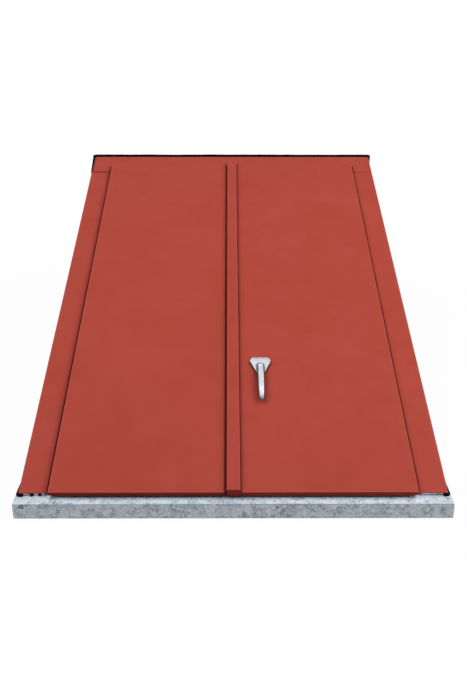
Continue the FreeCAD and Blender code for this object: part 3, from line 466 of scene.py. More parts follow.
# %% Zinc: stains and painted shadows
ZINC_STAIN_AND_SHADE = srgb(78, 82, 84)
RUST = srgb(128, 66, 34)
STAINS_AND_SHADOWS = [  # place, radius, raggedness, colour and share, in metres
    ((-0.6295, -0.992, 0.043), 0.0125, 0.003, ZINC_STAIN_AND_SHADE, 0.9),
    # painted shadows of the closure's two slots
    ((-0.582, -0.943, 0.053), 0.010, 0.002, ZINC_SHADE, 1.0),
    ((-0.6065, -0.943, 0.053), 0.012, 0.002, ZINC_SHADE, 1.0),
    # painted shade of a small screw hole
    ((-0.533, -0.980, 0.050), 0.006, 0.003, ZINC_STAIN_AND_SHADE, 0.8),
    ((0.129, -0.992, 0.040), 0.010, 0.006, RUST, 0.85),
    ((0.505, -0.952, 0.050), 0.016, 0.022, ZINC_STAIN_AND_SHADE, 0.8),
    ((0.540, -0.972, 0.050), 0.015, 0.020, ZINC_STAIN_AND_SHADE, 0.8),
    ((-0.300, -0.992, 0.020), 0.020, 0.026, ZINC_STAIN_AND_SHADE, 0.5),
    ((0.300, -0.992, 0.012), 0.022, 0.028, ZINC_STAIN_AND_SHADE, 0.5)]
for where, radius, ragged, mark_colour, share in STAINS_AND_SHADOWS:
    mark = use_group(tree, spot, Place=where, Radius=radius, Ragged=ragged).outputs[0]
    colour = mix_colour(tree, map_value(tree, mark, 0.0, 0.5, 0.0, share), colour, mark_colour)
tree.links.new(colour, shader.inputs["Base Color"])
print("zinc:", len(tree.nodes), "nodes and", len(STAINS_AND_SHADOWS), "stains")

# %% [markdown]
# ### Rubber and foam
# The weather strips are black foam rubber. Only their outline and a dull sheen show, and
# fine pores where the light grazes them.

# %% Material: black rubber
RUBBER_BLACK = srgb(8, 8, 9)
RUBBER_DUST = srgb(26, 26, 27)

rubber, tree, shader = new_material("black_rubber", Specular_IOR_Level=0.02)
dust = use_group(tree, clouds, Scale=30.0, Detail=4.0, From=0.5, To=0.8).outputs[0]
colour = mix_colour(tree, share_of(tree, dust, 0.3), RUBBER_BLACK, RUBBER_DUST)
tree.links.new(colour, shader.inputs["Base Color"])
tree.links.new(map_value(tree, dust, 0, 1, 0.7, 0.9), shader.inputs["Roughness"])
bump(tree, shader, use_group(tree, skin, Coarse=300.0, Fine=1400.0).outputs[0], 0.5, 0.0006)
print("black rubber:", len(tree.nodes), "nodes")

# %% [markdown]
# ### Cast handle metal
# The handle is a silvery casting. Its outward faces stay bright; its sides and corners get
# painted shade, and its pits are dark. Which face points out is the dot product of its normal
# with the direction out of the slope. Distances from the handle's axis find the sunk face,
# which is greyer, the middle of the lever, which gets painted shade on its upward face, and
# the lever's root and tip, which get painted shade.

# %% Material: cast metal
CAST_LIGHT = srgb(238, 241, 245)
CAST_GREY = srgb(196, 201, 211)
CAST_PIT = srgb(120, 125, 136)
CAST_SHADE = srgb(62, 67, 77)

cast_metal, tree, shader = new_material("cast_metal", Specular_IOR_Level=0.3)
smear = use_group(tree, clouds, Scale=55.0, Detail=3.0, From=0.4, To=0.7).outputs[0]
pits = use_group(tree, clouds, Scale=300.0, Detail=2.0, From=0.52, To=0.68).outputs[0]
# painted shade in the casting's corners
corner = use_group(tree, crease, Open=0.85, Closed=0.45).outputs["Tight"]
place = add_node(tree, "ShaderNodeTexCoord")
facing = vector_node(tree, "DOT_PRODUCT", place.outputs["Normal"], tuple(OUT))
# painted shade on faces that turn away from the direction out of the slope
side_shade = map_value(tree, facing, 0.97, 0.7, 0.0, 0.9)
reach = vector_node(tree, "SUBTRACT", place.outputs["Object"], tuple(HANDLE))
along = vector_node(tree, "DOT_PRODUCT", reach, tuple(UP_SLOPE))
above = vector_node(tree, "DOT_PRODUCT", reach, tuple(OUT))
from_middle = math_node(tree, "ABSOLUTE", split(tree, reach)[0])
sunk = map_value(tree, above, 0.0062, 0.0072, 0.5, 0.0)
# painted shade on the middle of the lever
lever_shade = math_node(tree, "MINIMUM", map_value(tree, along, -0.02, -0.04, 0.0, 0.5),
                 map_value(tree, along, -0.11, -0.14, 0.5, 0.0))
# painted shadow across the lever's root
root = math_node(tree, "MULTIPLY", map_value(tree, from_middle, 0.011, 0.014, 0.65, 0.0),
                 band(tree, along, -0.013, -0.008, 0.002, 0.004))
# painted shade on the lever's tip
tip_shade = map_value(tree, along, -0.160, -0.182, 0.0, 0.9)
colour = lay_over(tree, CAST_LIGHT, [
    (share_of(tree, smear, 0.6), CAST_GREY), (sunk, CAST_GREY), (lever_shade, CAST_GREY),
    (share_of(tree, pits, 0.55), CAST_PIT), (root, CAST_SHADE), (tip_shade, CAST_SHADE),
    (side_shade, CAST_SHADE), (share_of(tree, corner, 0.8), CAST_SHADE)])
tree.links.new(colour, shader.inputs["Base Color"])
tree.links.new(map_value(tree, smear, 0, 1, 0.4, 0.5), shader.inputs["Roughness"])
tree.links.new(map_value(tree, pits, 0, 1, 0.3, 0.15), shader.inputs["Metallic"])
bump(tree, shader, use_group(tree, skin, Coarse=180.0, Fine=900.0).outputs[0], 0.3, 0.0005)
print("cast metal:", len(tree.nodes), "nodes")

# %% [markdown]
# ### Plated hardware
# Hinges, pins and the latch bar are zinc plated: smoother than the dipped base and finely
# scratched along their length.

# %% Material: plated steel
PLATED_BRIGHT = srgb(206, 207, 205)
PLATED_DULL = srgb(170, 169, 162)

plated, tree, shader = new_material("plated_steel", Specular_IOR_Level=0.5)
scratch = use_group(tree, clouds, Scale=300.0, Detail=2.0, From=0.45, To=0.75,
                    Stretch=(1.0, 0.08, 1.0)).outputs[0]
tarnish = use_group(tree, clouds, Scale=45.0, Detail=4.0, From=0.4, To=0.75).outputs[0]
colour = mix_colour(tree, tarnish, PLATED_BRIGHT, PLATED_DULL)
tree.links.new(colour, shader.inputs["Base Color"])
tree.links.new(map_value(tree, scratch, 0, 1, 0.32, 0.5), shader.inputs["Roughness"])
tree.links.new(map_value(tree, tarnish, 0, 1, 0.95, 0.8), shader.inputs["Metallic"])
bump(tree, shader, scratch, 0.15, 0.0003)
print("materials:", [m.name for m in (red_paint, zinc, rubber, cast_metal, plated)])

# %% [markdown]
# ### Dressing the CAD nodes
# The frame's record says which finish each node has, so one loop gives them all. The seal
# between the leaves is rubber, but it was sprayed over with the leaf and looks red.

# %% Give each CAD node its finish
FINISH = {"red_paint": red_paint, "galvanised_base": zinc, "black_seal": rubber,
          "cast_handle": cast_metal, "plated_steel": plated}
for part in frame["record"]["subparts"]:
    for material_slot in nodes[part["node"]].material_slots:
        material_slot.material = FINISH[part["material_slot"]]
nodes["centre_seal"].material_slots[0].material = red_paint

# %% [markdown]
# ## Turning vertex lists into pieces
# Each added piece ends as a plain mesh at the origin. The helpers below join rings of points
# into a mesh, run modifiers on it, smooth what should be round, assign the finish and hang
# the piece on its body.

# %% Piece helpers
ROUND_BELOW = math.radians(38)


def new_object(name, data):
    """An object in the scene that shows that data."""
    thing = bpy.data.objects.new(name, data)
    bpy.context.scene.collection.objects.link(thing)
    return thing


def finish_piece(name, mesh, material, body, replaced=()):
    """Makes the object, gives it its finish and says which body carries it."""
    mesh.materials.clear()
    mesh.materials.append(material)
    piece = new_object(name, mesh)
    mesh.polygons.foreach_set("use_smooth", [True] * len(mesh.polygons))
    mesh.set_sharp_from_angle(angle=ROUND_BELOW)
    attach(piece, body)
    if replaced:
        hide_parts(*replaced)
    print(name, "faces:", len(mesh.polygons), "on", body)


def mesh_from_rings(name, rings):
    """Joins rings of equal length with quads, caps both ends and turns the faces out."""
    work = bmesh.new()
    rows = [[work.verts.new(point) for point in ring] for ring in rings]
    count = len(rows[0])
    for lower, upper in zip(rows, rows[1:]):
        for i in range(count):
            j = (i + 1) % count
            work.faces.new((lower[i], lower[j], upper[j], upper[i]))
    work.faces.new(reversed(rows[0]))
    work.faces.new(rows[-1])
    bmesh.ops.remove_doubles(work, verts=work.verts, dist=1e-6)
    bmesh.ops.recalc_face_normals(work, faces=work.faces)
    mesh = bpy.data.meshes.new(name)
    work.to_mesh(mesh)
    work.free()
    return mesh


def bake_modifiers(name, mesh, add):
    """Runs modifiers on a helper object and returns the plain mesh that they make."""
    helper = new_object(name + "_helper", mesh)
    add(helper)
    bpy.context.view_layer.update()
    view = bpy.context.evaluated_depsgraph_get()
    baked = bpy.data.meshes.new_from_object(helper.evaluated_get(view))
    bpy.data.objects.remove(helper)
    baked.name = name
    return baked


# %% [markdown]
# ## Handle head
# The head is a small casting shaped like a blunt wedge, with a raised rim round a sunk face
# and a slot that the lever drops into. It could be sculpted, but it is a plate with two
# pockets, so an outline is pulled up, the pockets are cut by Boolean modifiers, and a bevel
# gives the soft edges that a casting has.

# %% Handle head outline
HEAD_TOP_HALF = 29.0
HEAD_HALF = 36.0
HEAD_FOOT_HALF = 13.5
HEAD_ABOVE = 31.0
HEAD_SHOULDER = 15.0
HEAD_BELOW = 42.0
HEAD_UNDER = 0.5
HEAD_THICKNESS = 7.0
HEAD_CORNER = 7.0
CORNER_STEPS = 6
HEAD_PLACE = ON_SLOPE.to_3x3().to_4x4()
HEAD_PLACE.translation = HANDLE


def at_handle(x, along, out):
    """A point in millimetres from the handle's axis, on the leaf's skin, in world metres."""
    return HEAD_PLACE @ (Vector((x, along, out)) * MM)


def rounded_outline(corners, radius, steps):
    """A closed outline with an arc at each corner."""
    points = []
    count = len(corners)
    for i, corner in enumerate(corners):
        corner = Vector(corner)
        before = (Vector(corners[i - 1]) - corner).normalized()
        after = (Vector(corners[(i + 1) % count]) - corner).normalized()
        half = before.angle(after) / 2
        reach = radius / math.tan(half)
        centre = corner + (before + after).normalized() * radius / math.sin(half)
        start = corner + before * reach - centre
        turn = math.pi - 2 * half
        side = 1.0 if before.x * after.y - before.y * after.x < 0 else -1.0
        for step in range(steps + 1):
            angle = side * turn * step / steps
            spin = Matrix.Rotation(angle, 2)
            points.append(centre + spin @ start)
    return points


def head_corners(inset):
    """Corners of the head's outline, drawn inwards by that much."""
    return [(HEAD_TOP_HALF - inset / 2, HEAD_ABOVE - inset), (HEAD_HALF - inset, HEAD_SHOULDER),
            (HEAD_FOOT_HALF - inset / 2, inset - HEAD_BELOW),
            (inset / 2 - HEAD_FOOT_HALF, inset - HEAD_BELOW), (inset - HEAD_HALF, HEAD_SHOULDER),
            (inset / 2 - HEAD_TOP_HALF, HEAD_ABOVE - inset)]


def plate(name, outline, low, high):
    """A flat plate of that outline between two heights above the leaf."""
    return mesh_from_rings(name, [[at_handle(x, along, out) for x, along in outline]
                                  for out in (low, high)])


# %% Handle head piece
RIM = 4.0
RECESS = 1.5
PAST = 2.0  # how far a cutter stands out of what it cuts
SLOT_HALF = 13.5
SLOT_TOP = 2.0
SLOT_END = -HEAD_BELOW - 9.0
SLOT_CORNER = 2.5
SLOT_STEPS = 4
SLOT_DEPTH = 4.0
SOFT_EDGE = 0.9
head_top = HEAD_UNDER + HEAD_THICKNESS
body_mesh = plate("head_blank", rounded_outline(head_corners(0.0), HEAD_CORNER, CORNER_STEPS),
                  HEAD_UNDER, head_top)
pocket = plate("head_pocket", rounded_outline(head_corners(RIM), HEAD_CORNER - RIM / 2,
                                               CORNER_STEPS), head_top - RECESS, head_top + PAST)
slot_outline = rounded_outline(
    [(SLOT_HALF, SLOT_TOP), (SLOT_HALF, SLOT_END), (-SLOT_HALF, SLOT_END),
     (-SLOT_HALF, SLOT_TOP)], SLOT_CORNER, SLOT_STEPS)
lever_slot = plate("head_slot", slot_outline, head_top - SLOT_DEPTH, head_top + PAST)


def cut_and_soften(helper):
    """Cuts both pockets and rounds what is left."""
    for cutter_mesh in (pocket, lever_slot):
        cutter = new_object("cutter", cutter_mesh)
        cut = helper.modifiers.new("cut", "BOOLEAN")
        cut.operation = "DIFFERENCE"
        cut.object = cutter
        cutter.hide_render = True
    soften = helper.modifiers.new("soften", "BEVEL")
    soften.width = SOFT_EDGE * MM
    soften.segments = 3
    soften.limit_method = "ANGLE"
    soften.angle_limit = math.radians(35)


head_mesh = bake_modifiers("handle_head_casting", body_mesh, cut_and_soften)
for helper in [o for o in bpy.data.objects if o.name.startswith("cutter")]:
    bpy.data.objects.remove(helper)
finish_piece("handle_head_casting", head_mesh, cast_metal, "handle",
             ["handle_head"])

# %% [markdown]
# ## Lever
# The lever rises out of the slot, runs level above the skin and drops to a blunt tip that a
# thumb can lift. Its section is a squared oval that narrows all the way. Rings along its
# length give exact control of that taper, and a subdivision surface smooths between them.

# %% Lever piece
LEVER_LENGTH = 186.0
LEVER_HALF = 11.0
LEVER_THICK = 13.0
LEVER_RISE = 14.0
RING_POINTS = 16
SQUARENESS = 0.72
LEVER_RINGS = [  # share of length, of width, of thickness, of rise, and lean
    (0.0, 0.55, 0.5, 0.02, 0.0), (0.012, 0.85, 0.85, 0.01, 0.0), (0.04, 0.97, 1.0, 0.0, 0.0),
    (0.12, 1.0, 1.0, 0.16, 0.2), (0.2, 1.0, 1.0, 0.55, 0.3), (0.28, 1.0, 1.0, 0.88, 0.18),
    (0.38, 1.0, 1.0, 1.04, 0.04), (0.5, 0.98, 1.0, 1.06, 0.0), (0.62, 0.95, 0.96, 1.04, -0.03),
    (0.74, 0.9, 0.9, 0.98, -0.06), (0.84, 0.82, 0.82, 0.9, -0.1),
    (0.9, 0.74, 0.74, 0.83, -0.14), (0.95, 0.66, 0.62, 0.74, -0.22),
    (0.985, 0.52, 0.44, 0.66, -0.3), (1.0, 0.3, 0.24, 0.62, -0.35)]
LEVER_SEAT = 0.2
lever_root = head_top - SLOT_DEPTH + LEVER_SEAT + LEVER_THICK / 2
lever_lift = LEVER_RISE + LEVER_THICK / 2 - lever_root


def squared_oval(width, thickness, count):
    """Points of an oval with fuller corners, as (across, up) pairs."""
    points = []
    for i in range(count):
        turn = 2 * math.pi * (i + 0.5) / count
        across, up = math.cos(turn), math.sin(turn)
        across = math.copysign(abs(across) ** SQUARENESS, across) * width
        up = math.copysign(abs(up) ** SQUARENESS, up) * thickness
        points.append((across, up))
    return points


rings = []
for share, wide, thick, rise, lean in LEVER_RINGS:
    ring = []
    for across, up in squared_oval(LEVER_HALF * wide, LEVER_THICK / 2 * thick, RING_POINTS):
        along = -LEVER_LENGTH * share + up * math.sin(lean)
        height = lever_root + lever_lift * rise + up * math.cos(lean)
        ring.append(at_handle(across, along, height))
    rings.append(ring)
lever_cage = mesh_from_rings("lever_cage", rings)


def smooth_cage(helper):
    """Rounds the cage of rings."""
    surface = helper.modifiers.new("smooth", "SUBSURF")
    surface.levels = 2
    surface.render_levels = 2


lever_mesh = bake_modifiers("handle_lever_casting", lever_cage, smooth_cage)
finish_piece("handle_lever_casting", lever_mesh, cast_metal, "handle",
             ["handle_lever"])

# %% [markdown]
# ## Fasteners and welds
# Screws, bolts and spot welds repeat in rows, so one geometry node tree makes them all. It
# takes loose points, sets a washer, a head and a chamfer on each, and turns them to face
# out. Six sides give a hex head, many sides a round one, and a low height a weld dimple.

# %% Geometry nodes: fasteners
WASHER_HEIGHT = 0.0012
CAP_RADIUS_SHARE = 0.78
CAP_HEIGHT_SHARE = 0.3


def lifted(tree, geometry, height):
    """The geometry moved up by a height that is itself a socket."""
    offset = add_node(tree, "ShaderNodeCombineXYZ", Z=height).outputs[0]
    moved = add_node(tree, "GeometryNodeTransform", Geometry=geometry, Translation=offset)
    return moved.outputs[0]


fasteners, group_in, group_out = make_group(
    "fasteners", "GeometryNodeTree",
    [("Points", "NodeSocketGeometry", None), ("Sides", "NodeSocketInt", 6),
     ("Radius", FLOAT, 0.006), ("Height", FLOAT, 0.004), ("Washer", FLOAT, 0.009),
     ("Turn", VECTOR, (0.0, 0.0, 0.0)), ("Finish", "NodeSocketMaterial", None)],
    [("Mesh", "NodeSocketGeometry")])
sides, radius, tall = (group_in.outputs[key] for key in ("Sides", "Radius", "Height"))
washer = add_node(fasteners, "GeometryNodeMeshCylinder", Vertices=20,
                  Radius=group_in.outputs["Washer"], Depth=WASHER_HEIGHT)
head = add_node(fasteners, "GeometryNodeMeshCylinder", Vertices=sides, Radius=radius,
                Depth=tall)
top_radius = math_node(fasteners, "MULTIPLY", radius, CAP_RADIUS_SHARE)
cap_height = math_node(fasteners, "MULTIPLY", tall, CAP_HEIGHT_SHARE)
cap = add_node(fasteners, "GeometryNodeMeshCone", Vertices=sides, Radius_Top=top_radius,
               Radius_Bottom=radius, Depth=cap_height)
head_lift = math_node(fasteners, "MULTIPLY", tall, 0.5)
joined = add_node(fasteners, "GeometryNodeJoinGeometry")
for part in (lifted(fasteners, cap.outputs[0], tall),
             lifted(fasteners, head.outputs[0], head_lift), washer.outputs[0]):
    fasteners.links.new(part, joined.inputs[0])
copies = add_node(fasteners, "GeometryNodeInstanceOnPoints", Points=group_in.outputs["Points"],
                  Instance=joined.outputs[0], Rotation=group_in.outputs["Turn"])
real = add_node(fasteners, "GeometryNodeRealizeInstances", Geometry=copies.outputs[0])
coated = add_node(fasteners, "GeometryNodeSetMaterial", Geometry=real.outputs[0],
                  Material=group_in.outputs["Finish"])
fasteners.links.new(coated.outputs[0], group_out.inputs["Mesh"])
print("fasteners:", len(fasteners.nodes), "nodes")

# %% Fastener helpers
def socket_key(tree, name):
    """The identifier that a modifier uses for a tree's named input."""
    for item in tree.interface.items_tree:
        if item.item_type == "SOCKET" and item.in_out == "INPUT" and item.name == name:
            return item.identifier
    raise KeyError(name)


def fastener_piece(name, points, facing, body, material, slot_name, **sizes):
    """One mesh with a fastener on each point, all facing the same way."""
    cloud = bpy.data.meshes.new(name + "_points")
    cloud.from_pydata([tuple(p) for p in points], [], [])

    def add(helper):
        modifier = helper.modifiers.new("fasteners", "NODES")
        modifier.node_group = fasteners
        turn = tuple(facing.to_track_quat("Z", "Y").to_euler())
        for key, value in dict(sizes, Turn=turn, Finish=material).items():
            modifier[socket_key(fasteners, key)] = value

    finish_piece(name, bake_modifiers(name, cloud, add), material, body)


# %% [markdown]
# The stiffeners under each leaf are spot welded through both feet. The hinge brackets are
# bolted to the gutter floor, and the straps are riveted to the leaf.

# %% Welds under the leaves
SIDES = ((-1, "left"), (1, "right"))
STIFFENERS = 4
FOOT_OFFSET = 23.0
FOOT_FACE = 15.4
WELD_STEP = 62.0
WELD_MARGIN = 20.0
for side, name in SIDES:
    points = []
    for i in range(STIFFENERS):
        low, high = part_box("%s_stiffener_%d" % (name, i + 1))
        middle = ON_SLOPE.inverted() @ ((Vector(low) + Vector(high)) / 2) / MM
        inner = low[0] / MM + WELD_MARGIN
        outer = high[0] / MM - WELD_MARGIN
        count = int((outer - inner) // WELD_STEP)
        for foot in (-FOOT_OFFSET, FOOT_OFFSET):
            for k in range(count + 1):
                x = inner + (outer - inner) * k / count
                points.append(on_slope(x, middle.y + foot, FOOT_FACE))
    fastener_piece(name + "_spot_welds", points, -OUT, name + "_leaf", red_paint,
                   "red_paint", Sides=14, Radius=0.0032, Height=0.0006, Washer=0.0042)

# %% Hinge bolts and rivets
HINGES = (250.0, 962.0, 1674.0)
GUTTER_TOP = -12.0
FOOT_TOP = GUTTER_TOP + 2.5
BRACKET_BOLT_X = 553.0
BOLT_PLACES = (-11, 11)  # along the slope from the hinge's middle
STRAP_UNDER = 14.5
RIVET_PLACES = ((498, -30), (498, 0), (498, 30), (522, -30), (522, 30))
for side, name in SIDES:
    bolts = [on_slope(side * BRACKET_BOLT_X, s + d, FOOT_TOP)
             for s in HINGES for d in BOLT_PLACES]
    fastener_piece(name + "_hinge_bolts", bolts, OUT, "frame", plated, "plated_steel",
                   Sides=6, Radius=0.0032, Height=0.0022, Washer=0.0042)
    rivets = [on_slope(side * x, s + d, STRAP_UNDER) for s in HINGES for x, d in RIVET_PLACES]
    fastener_piece(name + "_hinge_rivets", rivets, -OUT, name + "_leaf", plated,
                   "plated_steel", Sides=14, Radius=0.0034, Height=0.0018, Washer=0.0045)

# %% [markdown]
# The thresholds are riveted down on the base, and a nut under the leaf holds the spindle.

# %% Threshold rivets and spindle nut
FOOT_MIDDLE = -935.5
THRESHOLD_TOP = 52.0
RIVETS_ACROSS = [-470, -340, -210, -80, 80, 210, 340, 470]
HANDLE_ALONG = 545.0
NUT_OUT = -8.6
rivets = [Vector((x, FOOT_MIDDLE, THRESHOLD_TOP)) * MM for x in RIVETS_ACROSS]
fastener_piece("threshold_rivets", rivets, Vector((0, 0, 1)), "frame", zinc,
               "galvanised_base", Sides=14, Radius=0.0032, Height=0.0016, Washer=0.0042)
nut = on_slope(HANDLE.x / MM, HANDLE_ALONG, NUT_OUT)
fastener_piece("spindle_nut", [nut], -OUT, "handle", plated, "plated_steel",
               Sides=6, Radius=0.0075, Height=0.0055, Washer=0.0095)

# %% [markdown]
# ## Rubber between frame and base
# A soft strip lies between each side panel and the base. It bulges where the steel squeezes
# it, and at the front it turns the corner and tucks in. A rounded section carried along
# that path shows the bulge better than a plain box.

# %% Base rubber
SEAL_LOW, SEAL_HIGH = 50.0, 55.0
SEAL_PROUD = 5.2
SEAL_BACK = 986.0
SEAL_FRONT = -944.0
SEAL_CORNER = 7.0
SEAL_SWELL = 2.6  # extra bulge at the front, where less weight holds the strip
SEAL_FREE = 110.0
SEAL_TAPER = 60.0
SEAL_TAIL = 632.5
SEAL_TUCK = 4.0  # inwards, under the panel
SEAL_STEPS = 60
ARC_STEPS = 8
UNEVEN = (0.92, 1.0)  # shares of the bulge between which it varies
PANEL_FACE = 647.5


def seal_profile(bulge):
    """Outer half of the strip's section: (outwards, up) pairs, in millimetres."""
    middle = (SEAL_LOW + SEAL_HIGH) / 2
    half = (SEAL_HIGH - SEAL_LOW) / 2
    points = [(-SEAL_TUCK, SEAL_LOW), (0.0, SEAL_LOW)]
    for step in range(1, ARC_STEPS):
        angle = -math.pi / 2 + math.pi * step / ARC_STEPS
        points.append((bulge * math.cos(angle), middle + half * math.sin(angle)))
    return points + [(0.0, SEAL_HIGH), (-SEAL_TUCK, SEAL_HIGH)]


def seal_path():
    """Places and outward directions along the side and round the front corner."""
    path = []
    for i in range(SEAL_STEPS + 1):
        y = SEAL_BACK + (SEAL_FRONT + SEAL_CORNER - SEAL_BACK) * i / SEAL_STEPS
        path.append(((PANEL_FACE, y), (1.0, 0.0)))
    centre = (PANEL_FACE - SEAL_CORNER, SEAL_FRONT + SEAL_CORNER)
    for i in range(1, ARC_STEPS + 1):
        angle = -math.pi / 2 * i / ARC_STEPS
        way = (math.cos(angle), math.sin(angle))
        path.append(((centre[0] + SEAL_CORNER * way[0], centre[1] + SEAL_CORNER * way[1]), way))
    path.append(((SEAL_TAIL, SEAL_FRONT), (0.0, -1.0)))
    return path


rng = random.Random(7)
for side, name in SIDES:
    rings = []
    for (x, y), (ox, oy) in seal_path():
        near = max(0.0, min(1.0, (SEAL_FREE - (y - SEAL_FRONT)) / SEAL_TAPER))
        bulge = (SEAL_PROUD + SEAL_SWELL * near) * rng.uniform(*UNEVEN)
        rings.append([Vector((side * (x + ox * out), y + oy * out, z)) * MM
                      for out, z in seal_profile(bulge)])
    finish_piece(name + "_base_rubber", mesh_from_rings(name + "_base_rubber", rings), rubber,
                 "frame", [name + "_base_seal"])

# %% [markdown]
# The seal between the two leaves has a soft lip that closes the last half millimetre.

# %% Seal lip
LIP_LEFT, LIP_RIGHT = -21.1, -20.55
LIP_LOW, LIP_HIGH = 12.5, 15.8
LIP_START, LIP_END = -7.0, 1917.5
LIP_SOFT = 0.6
rings = [[on_slope(x, along, out) for x, out in (
    (LIP_LEFT, LIP_LOW), (LIP_RIGHT, LIP_LOW + LIP_SOFT), (LIP_RIGHT, LIP_HIGH - LIP_SOFT),
    (LIP_LEFT, LIP_HIGH))] for along in (LIP_START, LIP_END)]
finish_piece("centre_seal_lip", mesh_from_rings("centre_seal_lip", rings), red_paint,
             "left_leaf")

# %% [markdown]
# ## Foam against the house
# The strip along the top is soft foam, cut by hand and squeezed between header and wall, so
# its upper edge wanders a little. A row of sections along its length, each with its top
# lifted by a slow random walk, gives that edge without a heavy mesh.

# %% Foam strip
top_low, top_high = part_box("wall_seal_top")
CUTS = 90
ROUNDING = 0.0018
SAG = 0.0015  # how far the foam's mean height lies below the CAD strip's
WANDER = 0.0003
KEEP = 0.85  # share of the last height that the next one keeps
END_LENGTH = 0.006
END_SLOPE = 0.5


def rounded_box_ring(x, y0, y1, z0, z1):
    """Section at one place: rounded above, with its two lower corners cut off."""
    r = ROUNDING
    clip = r * 0.3
    return [Vector((x, y, z)) for y, z in (
        (y0, z0 + r), (y0, z1 - r), (y0 + clip, z1 - clip), (y0 + r, z1), (y1 - r, z1),
        (y1 - clip, z1 - clip), (y1, z1 - r), (y1, z0 + r), (y1 - r, z0), (y0 + r, z0))]


rings = []
rng = random.Random(11)
lift = 0.0
for i in range(CUTS + 1):
    share = i / CUTS
    lift = KEEP * lift + rng.uniform(-WANDER, WANDER)
    end = min(share, 1 - share) * (top_high[0] - top_low[0])
    drop = max(0.0, END_LENGTH - end) * END_SLOPE
    x = top_low[0] + (top_high[0] - top_low[0]) * share
    rings.append(rounded_box_ring(x, top_low[1], top_high[1], top_low[2],
                                  top_high[2] - SAG + lift - drop))
finish_piece("foam_strip_top", mesh_from_rings("foam_strip_top", rings), rubber, "frame",
             ["wall_seal_top"])

# %% [markdown]
# ## Vent plug
# A section that is dipped in zinc needs a vent, and the shop closes it afterwards with a
# rubber plug on a plated pin. It shows as a small dark ring with a bright middle.

# %% Vent plug
VENT = Vector((-629.5, -991.2, 43.0))
PLUG_PROFILE = [(5.4, 2.4), (5.4, 1.2), (4.9, 0.9), (3.4, 1.0), (2.8, 0.5), (2.2, 0.3),
                (1.2, 0.1), (0.25, 0.05)]
PLUG_SIDES = 20
PIN_BACK = Vector((0.0, 0.2, 0.0))
turns = [2 * math.pi * i / PLUG_SIDES for i in range(PLUG_SIDES)]
rings = [[(VENT + Vector((out * math.cos(turn), depth, out * math.sin(turn)))) * MM
          for turn in turns] for out, depth in PLUG_PROFILE]
finish_piece("vent_plug", mesh_from_rings("vent_plug", rings), rubber, "frame")
fastener_piece("vent_pin", [(VENT + PIN_BACK) * MM], Vector((0, -1, 0)), "frame", plated,
               "plated_steel", Sides=12, Radius=0.0022, Height=0.0010, Washer=0.0028)

# %% [markdown]
# ## Camera
# The camera stands in front of the door at head height and looks down on it. Its place and
# lens were solved from the door's own edges in the picture.

# %% Camera
FOCAL_PIXELS = 871.84
LONG_SIDE = 700
SENSOR = 36.0
PITCH, YAW, ROLL = 24.12, 0.317, -0.096
CAMERA_PLACE = (-0.0130, -3.1598, 1.5217)
camera_data = bpy.data.cameras.new("camera")
camera_data.sensor_fit = "AUTO"
camera_data.sensor_width = SENSOR
camera_data.lens = FOCAL_PIXELS / LONG_SIDE * SENSOR
camera_data.clip_end = 100.0
camera = new_object("camera", camera_data)
camera.location = CAMERA_PLACE
tilt = Matrix.Rotation(math.radians(90 - PITCH), 3, "X")
heading = Matrix.Rotation(math.radians(-YAW), 3, "Z")
roll = Matrix.Rotation(math.radians(-ROLL), 3, "Z")
camera.rotation_euler = (heading @ tilt @ roll).to_euler()
bpy.context.scene.camera = camera
print("lens in millimetres:", round(camera_data.lens, 2))

# %% [markdown]
# ## Floor and light
# A pale studio: a floor that the camera sees as white, a faint even sky, and two large soft
# lamps over the left and the right side. The floor in the areaway under the door is painted
# near black, as painted shade for the cellar below.

# %% Floor mesh
FLOOR_SIZE = 30.0
work = bmesh.new()
bmesh.ops.create_grid(work, x_segments=8, y_segments=8, size=FLOOR_SIZE / 2)
floor_mesh = bpy.data.meshes.new("floor")
work.to_mesh(floor_mesh)
work.free()
floor = new_object("floor", floor_mesh)
print("floor:", FLOOR_SIZE, "m square")

# %% [markdown]
# The floor must look white and yet throw little light up at the door. So rays from the
# camera meet a glow, and those that light the door meet plain grey. Inside the footprint
# both meet a near-black colour, painted shade that stands in for the cellar.

# %% Floor material
WHITE = (1.0, 1.0, 1.0, 1.0)
FLOOR_SEEN = (0.9, 0.9, 0.9, 1.0)
FLOOR_GREY = (0.42, 0.41, 0.40, 1.0)
AREAWAY_SHADE = (0.02, 0.02, 0.02, 1.0)
AREAWAY_INSET = 0.02


def seen_directly(tree):
    """1 on rays from the camera and on those that it sees mirrored or through glass."""
    path = add_node(tree, "ShaderNodeLightPath").outputs
    seen = math_node(tree, "MAXIMUM", path["Is Camera Ray"], path["Is Glossy Ray"])
    return math_node(tree, "MAXIMUM", seen, path["Is Transmission Ray"])


def mix_into(tree, output, mask, first, second):
    """Ends a tree in a mix of two shaders."""
    both = add_node(tree, "ShaderNodeMixShader", _0=mask)
    tree.links.new(first.outputs[0], both.inputs[1])
    tree.links.new(second.outputs[0], both.inputs[2])
    end = add_node(tree, output)
    tree.links.new(both.outputs[0], end.inputs["Surface"])


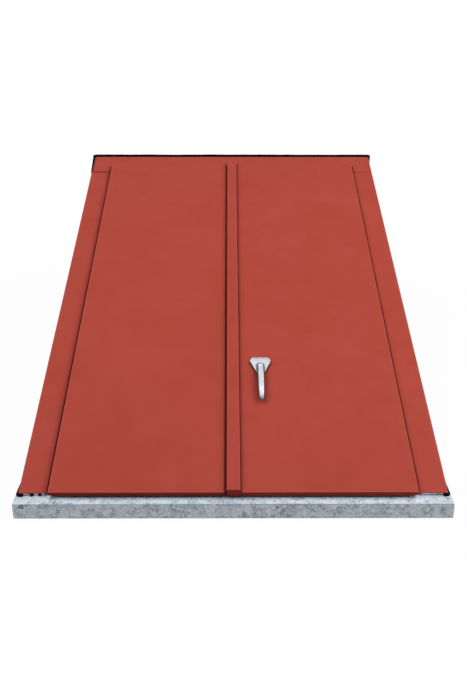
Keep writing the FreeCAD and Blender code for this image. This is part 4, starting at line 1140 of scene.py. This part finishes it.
floor_material = bpy.data.materials.new("studio_floor")
floor_material.use_nodes = True
tree = floor_material.node_tree
tree.nodes.clear()
seen = seen_directly(tree)
place = add_node(tree, "ShaderNodeTexCoord").outputs["Object"]
fade = map_value(tree, vector_node(tree, "LENGTH", place), 1.2, 2.6, 0.96, 1.0)
beside, beyond, _ = split(tree, vector_node(tree, "ABSOLUTE", place))
beside = math_node(tree, "GREATER_THAN", beside, cad_box[1][0] - AREAWAY_INSET)
beyond = math_node(tree, "GREATER_THAN", beyond, cad_box[1][1] - AREAWAY_INSET)
outside = math_node(tree, "MAXIMUM", beside, beyond)
pale = mix_colour(tree, seen, FLOOR_GREY, FLOOR_SEEN)
matte = add_node(tree, "ShaderNodeBsdfDiffuse")
# painted shade: near black inside the footprint
tree.links.new(mix_colour(tree, outside, AREAWAY_SHADE, pale), matte.inputs["Color"])
glow = add_node(tree, "ShaderNodeEmission", Color=WHITE, Strength=1.0)
glowing = math_node(tree, "MULTIPLY", seen, math_node(tree, "MULTIPLY", fade, outside))
mix_into(tree, "ShaderNodeOutputMaterial", glowing, matte, glow)
floor_mesh.materials.append(floor_material)
print("floor material:", len(tree.nodes), "nodes")

# %% [markdown]
# The sky does the same: white behind the door, and faint where it only lights it.

# %% Sky
SKY_STRENGTH = 0.15
world = bpy.data.worlds.new("studio")
bpy.context.scene.world = world
world.use_nodes = True
tree = world.node_tree
tree.nodes.clear()
soft = add_node(tree, "ShaderNodeBackground", Color=WHITE, Strength=SKY_STRENGTH)
white = add_node(tree, "ShaderNodeBackground", Color=WHITE, Strength=1.0)
mix_into(tree, "ShaderNodeOutputWorld", seen_directly(tree), soft, white)
print("sky strength:", SKY_STRENGTH)

# %% [markdown]
# Two softboxes give the even daylight of the picture, with the brighter one on the right.

# %% Lamps
LAMP_AIM = Vector((0.0, 0.0, 0.35))
LAMPS = [  # name, place, width, height, watts
    ("left_softbox", (-1.9, -0.7, 3.4), 5.0, 2.2, 80.0),
    ("right_softbox", (2.3, -0.7, 3.1), 5.0, 2.0, 100.0)]
for name, where, width, tall, watts in LAMPS:
    lamp_data = bpy.data.lights.new(name, "AREA")
    lamp_data.shape = "RECTANGLE"
    lamp_data.size = width
    lamp_data.size_y = tall
    lamp_data.energy = watts
    lamp = new_object(name, lamp_data)
    lamp.location = where
    lamp.rotation_euler = (LAMP_AIM - Vector(where)).to_track_quat("-Z", "Y").to_euler()
    lamp.visible_camera = False
    print(name, watts, "W at", where)

# %% [markdown]
# Standard shows colours as they were set, where the default would soften them.

# %% Colour management
view = bpy.context.scene.view_settings
view.view_transform = "Standard"
print("view transform:", view.view_transform)
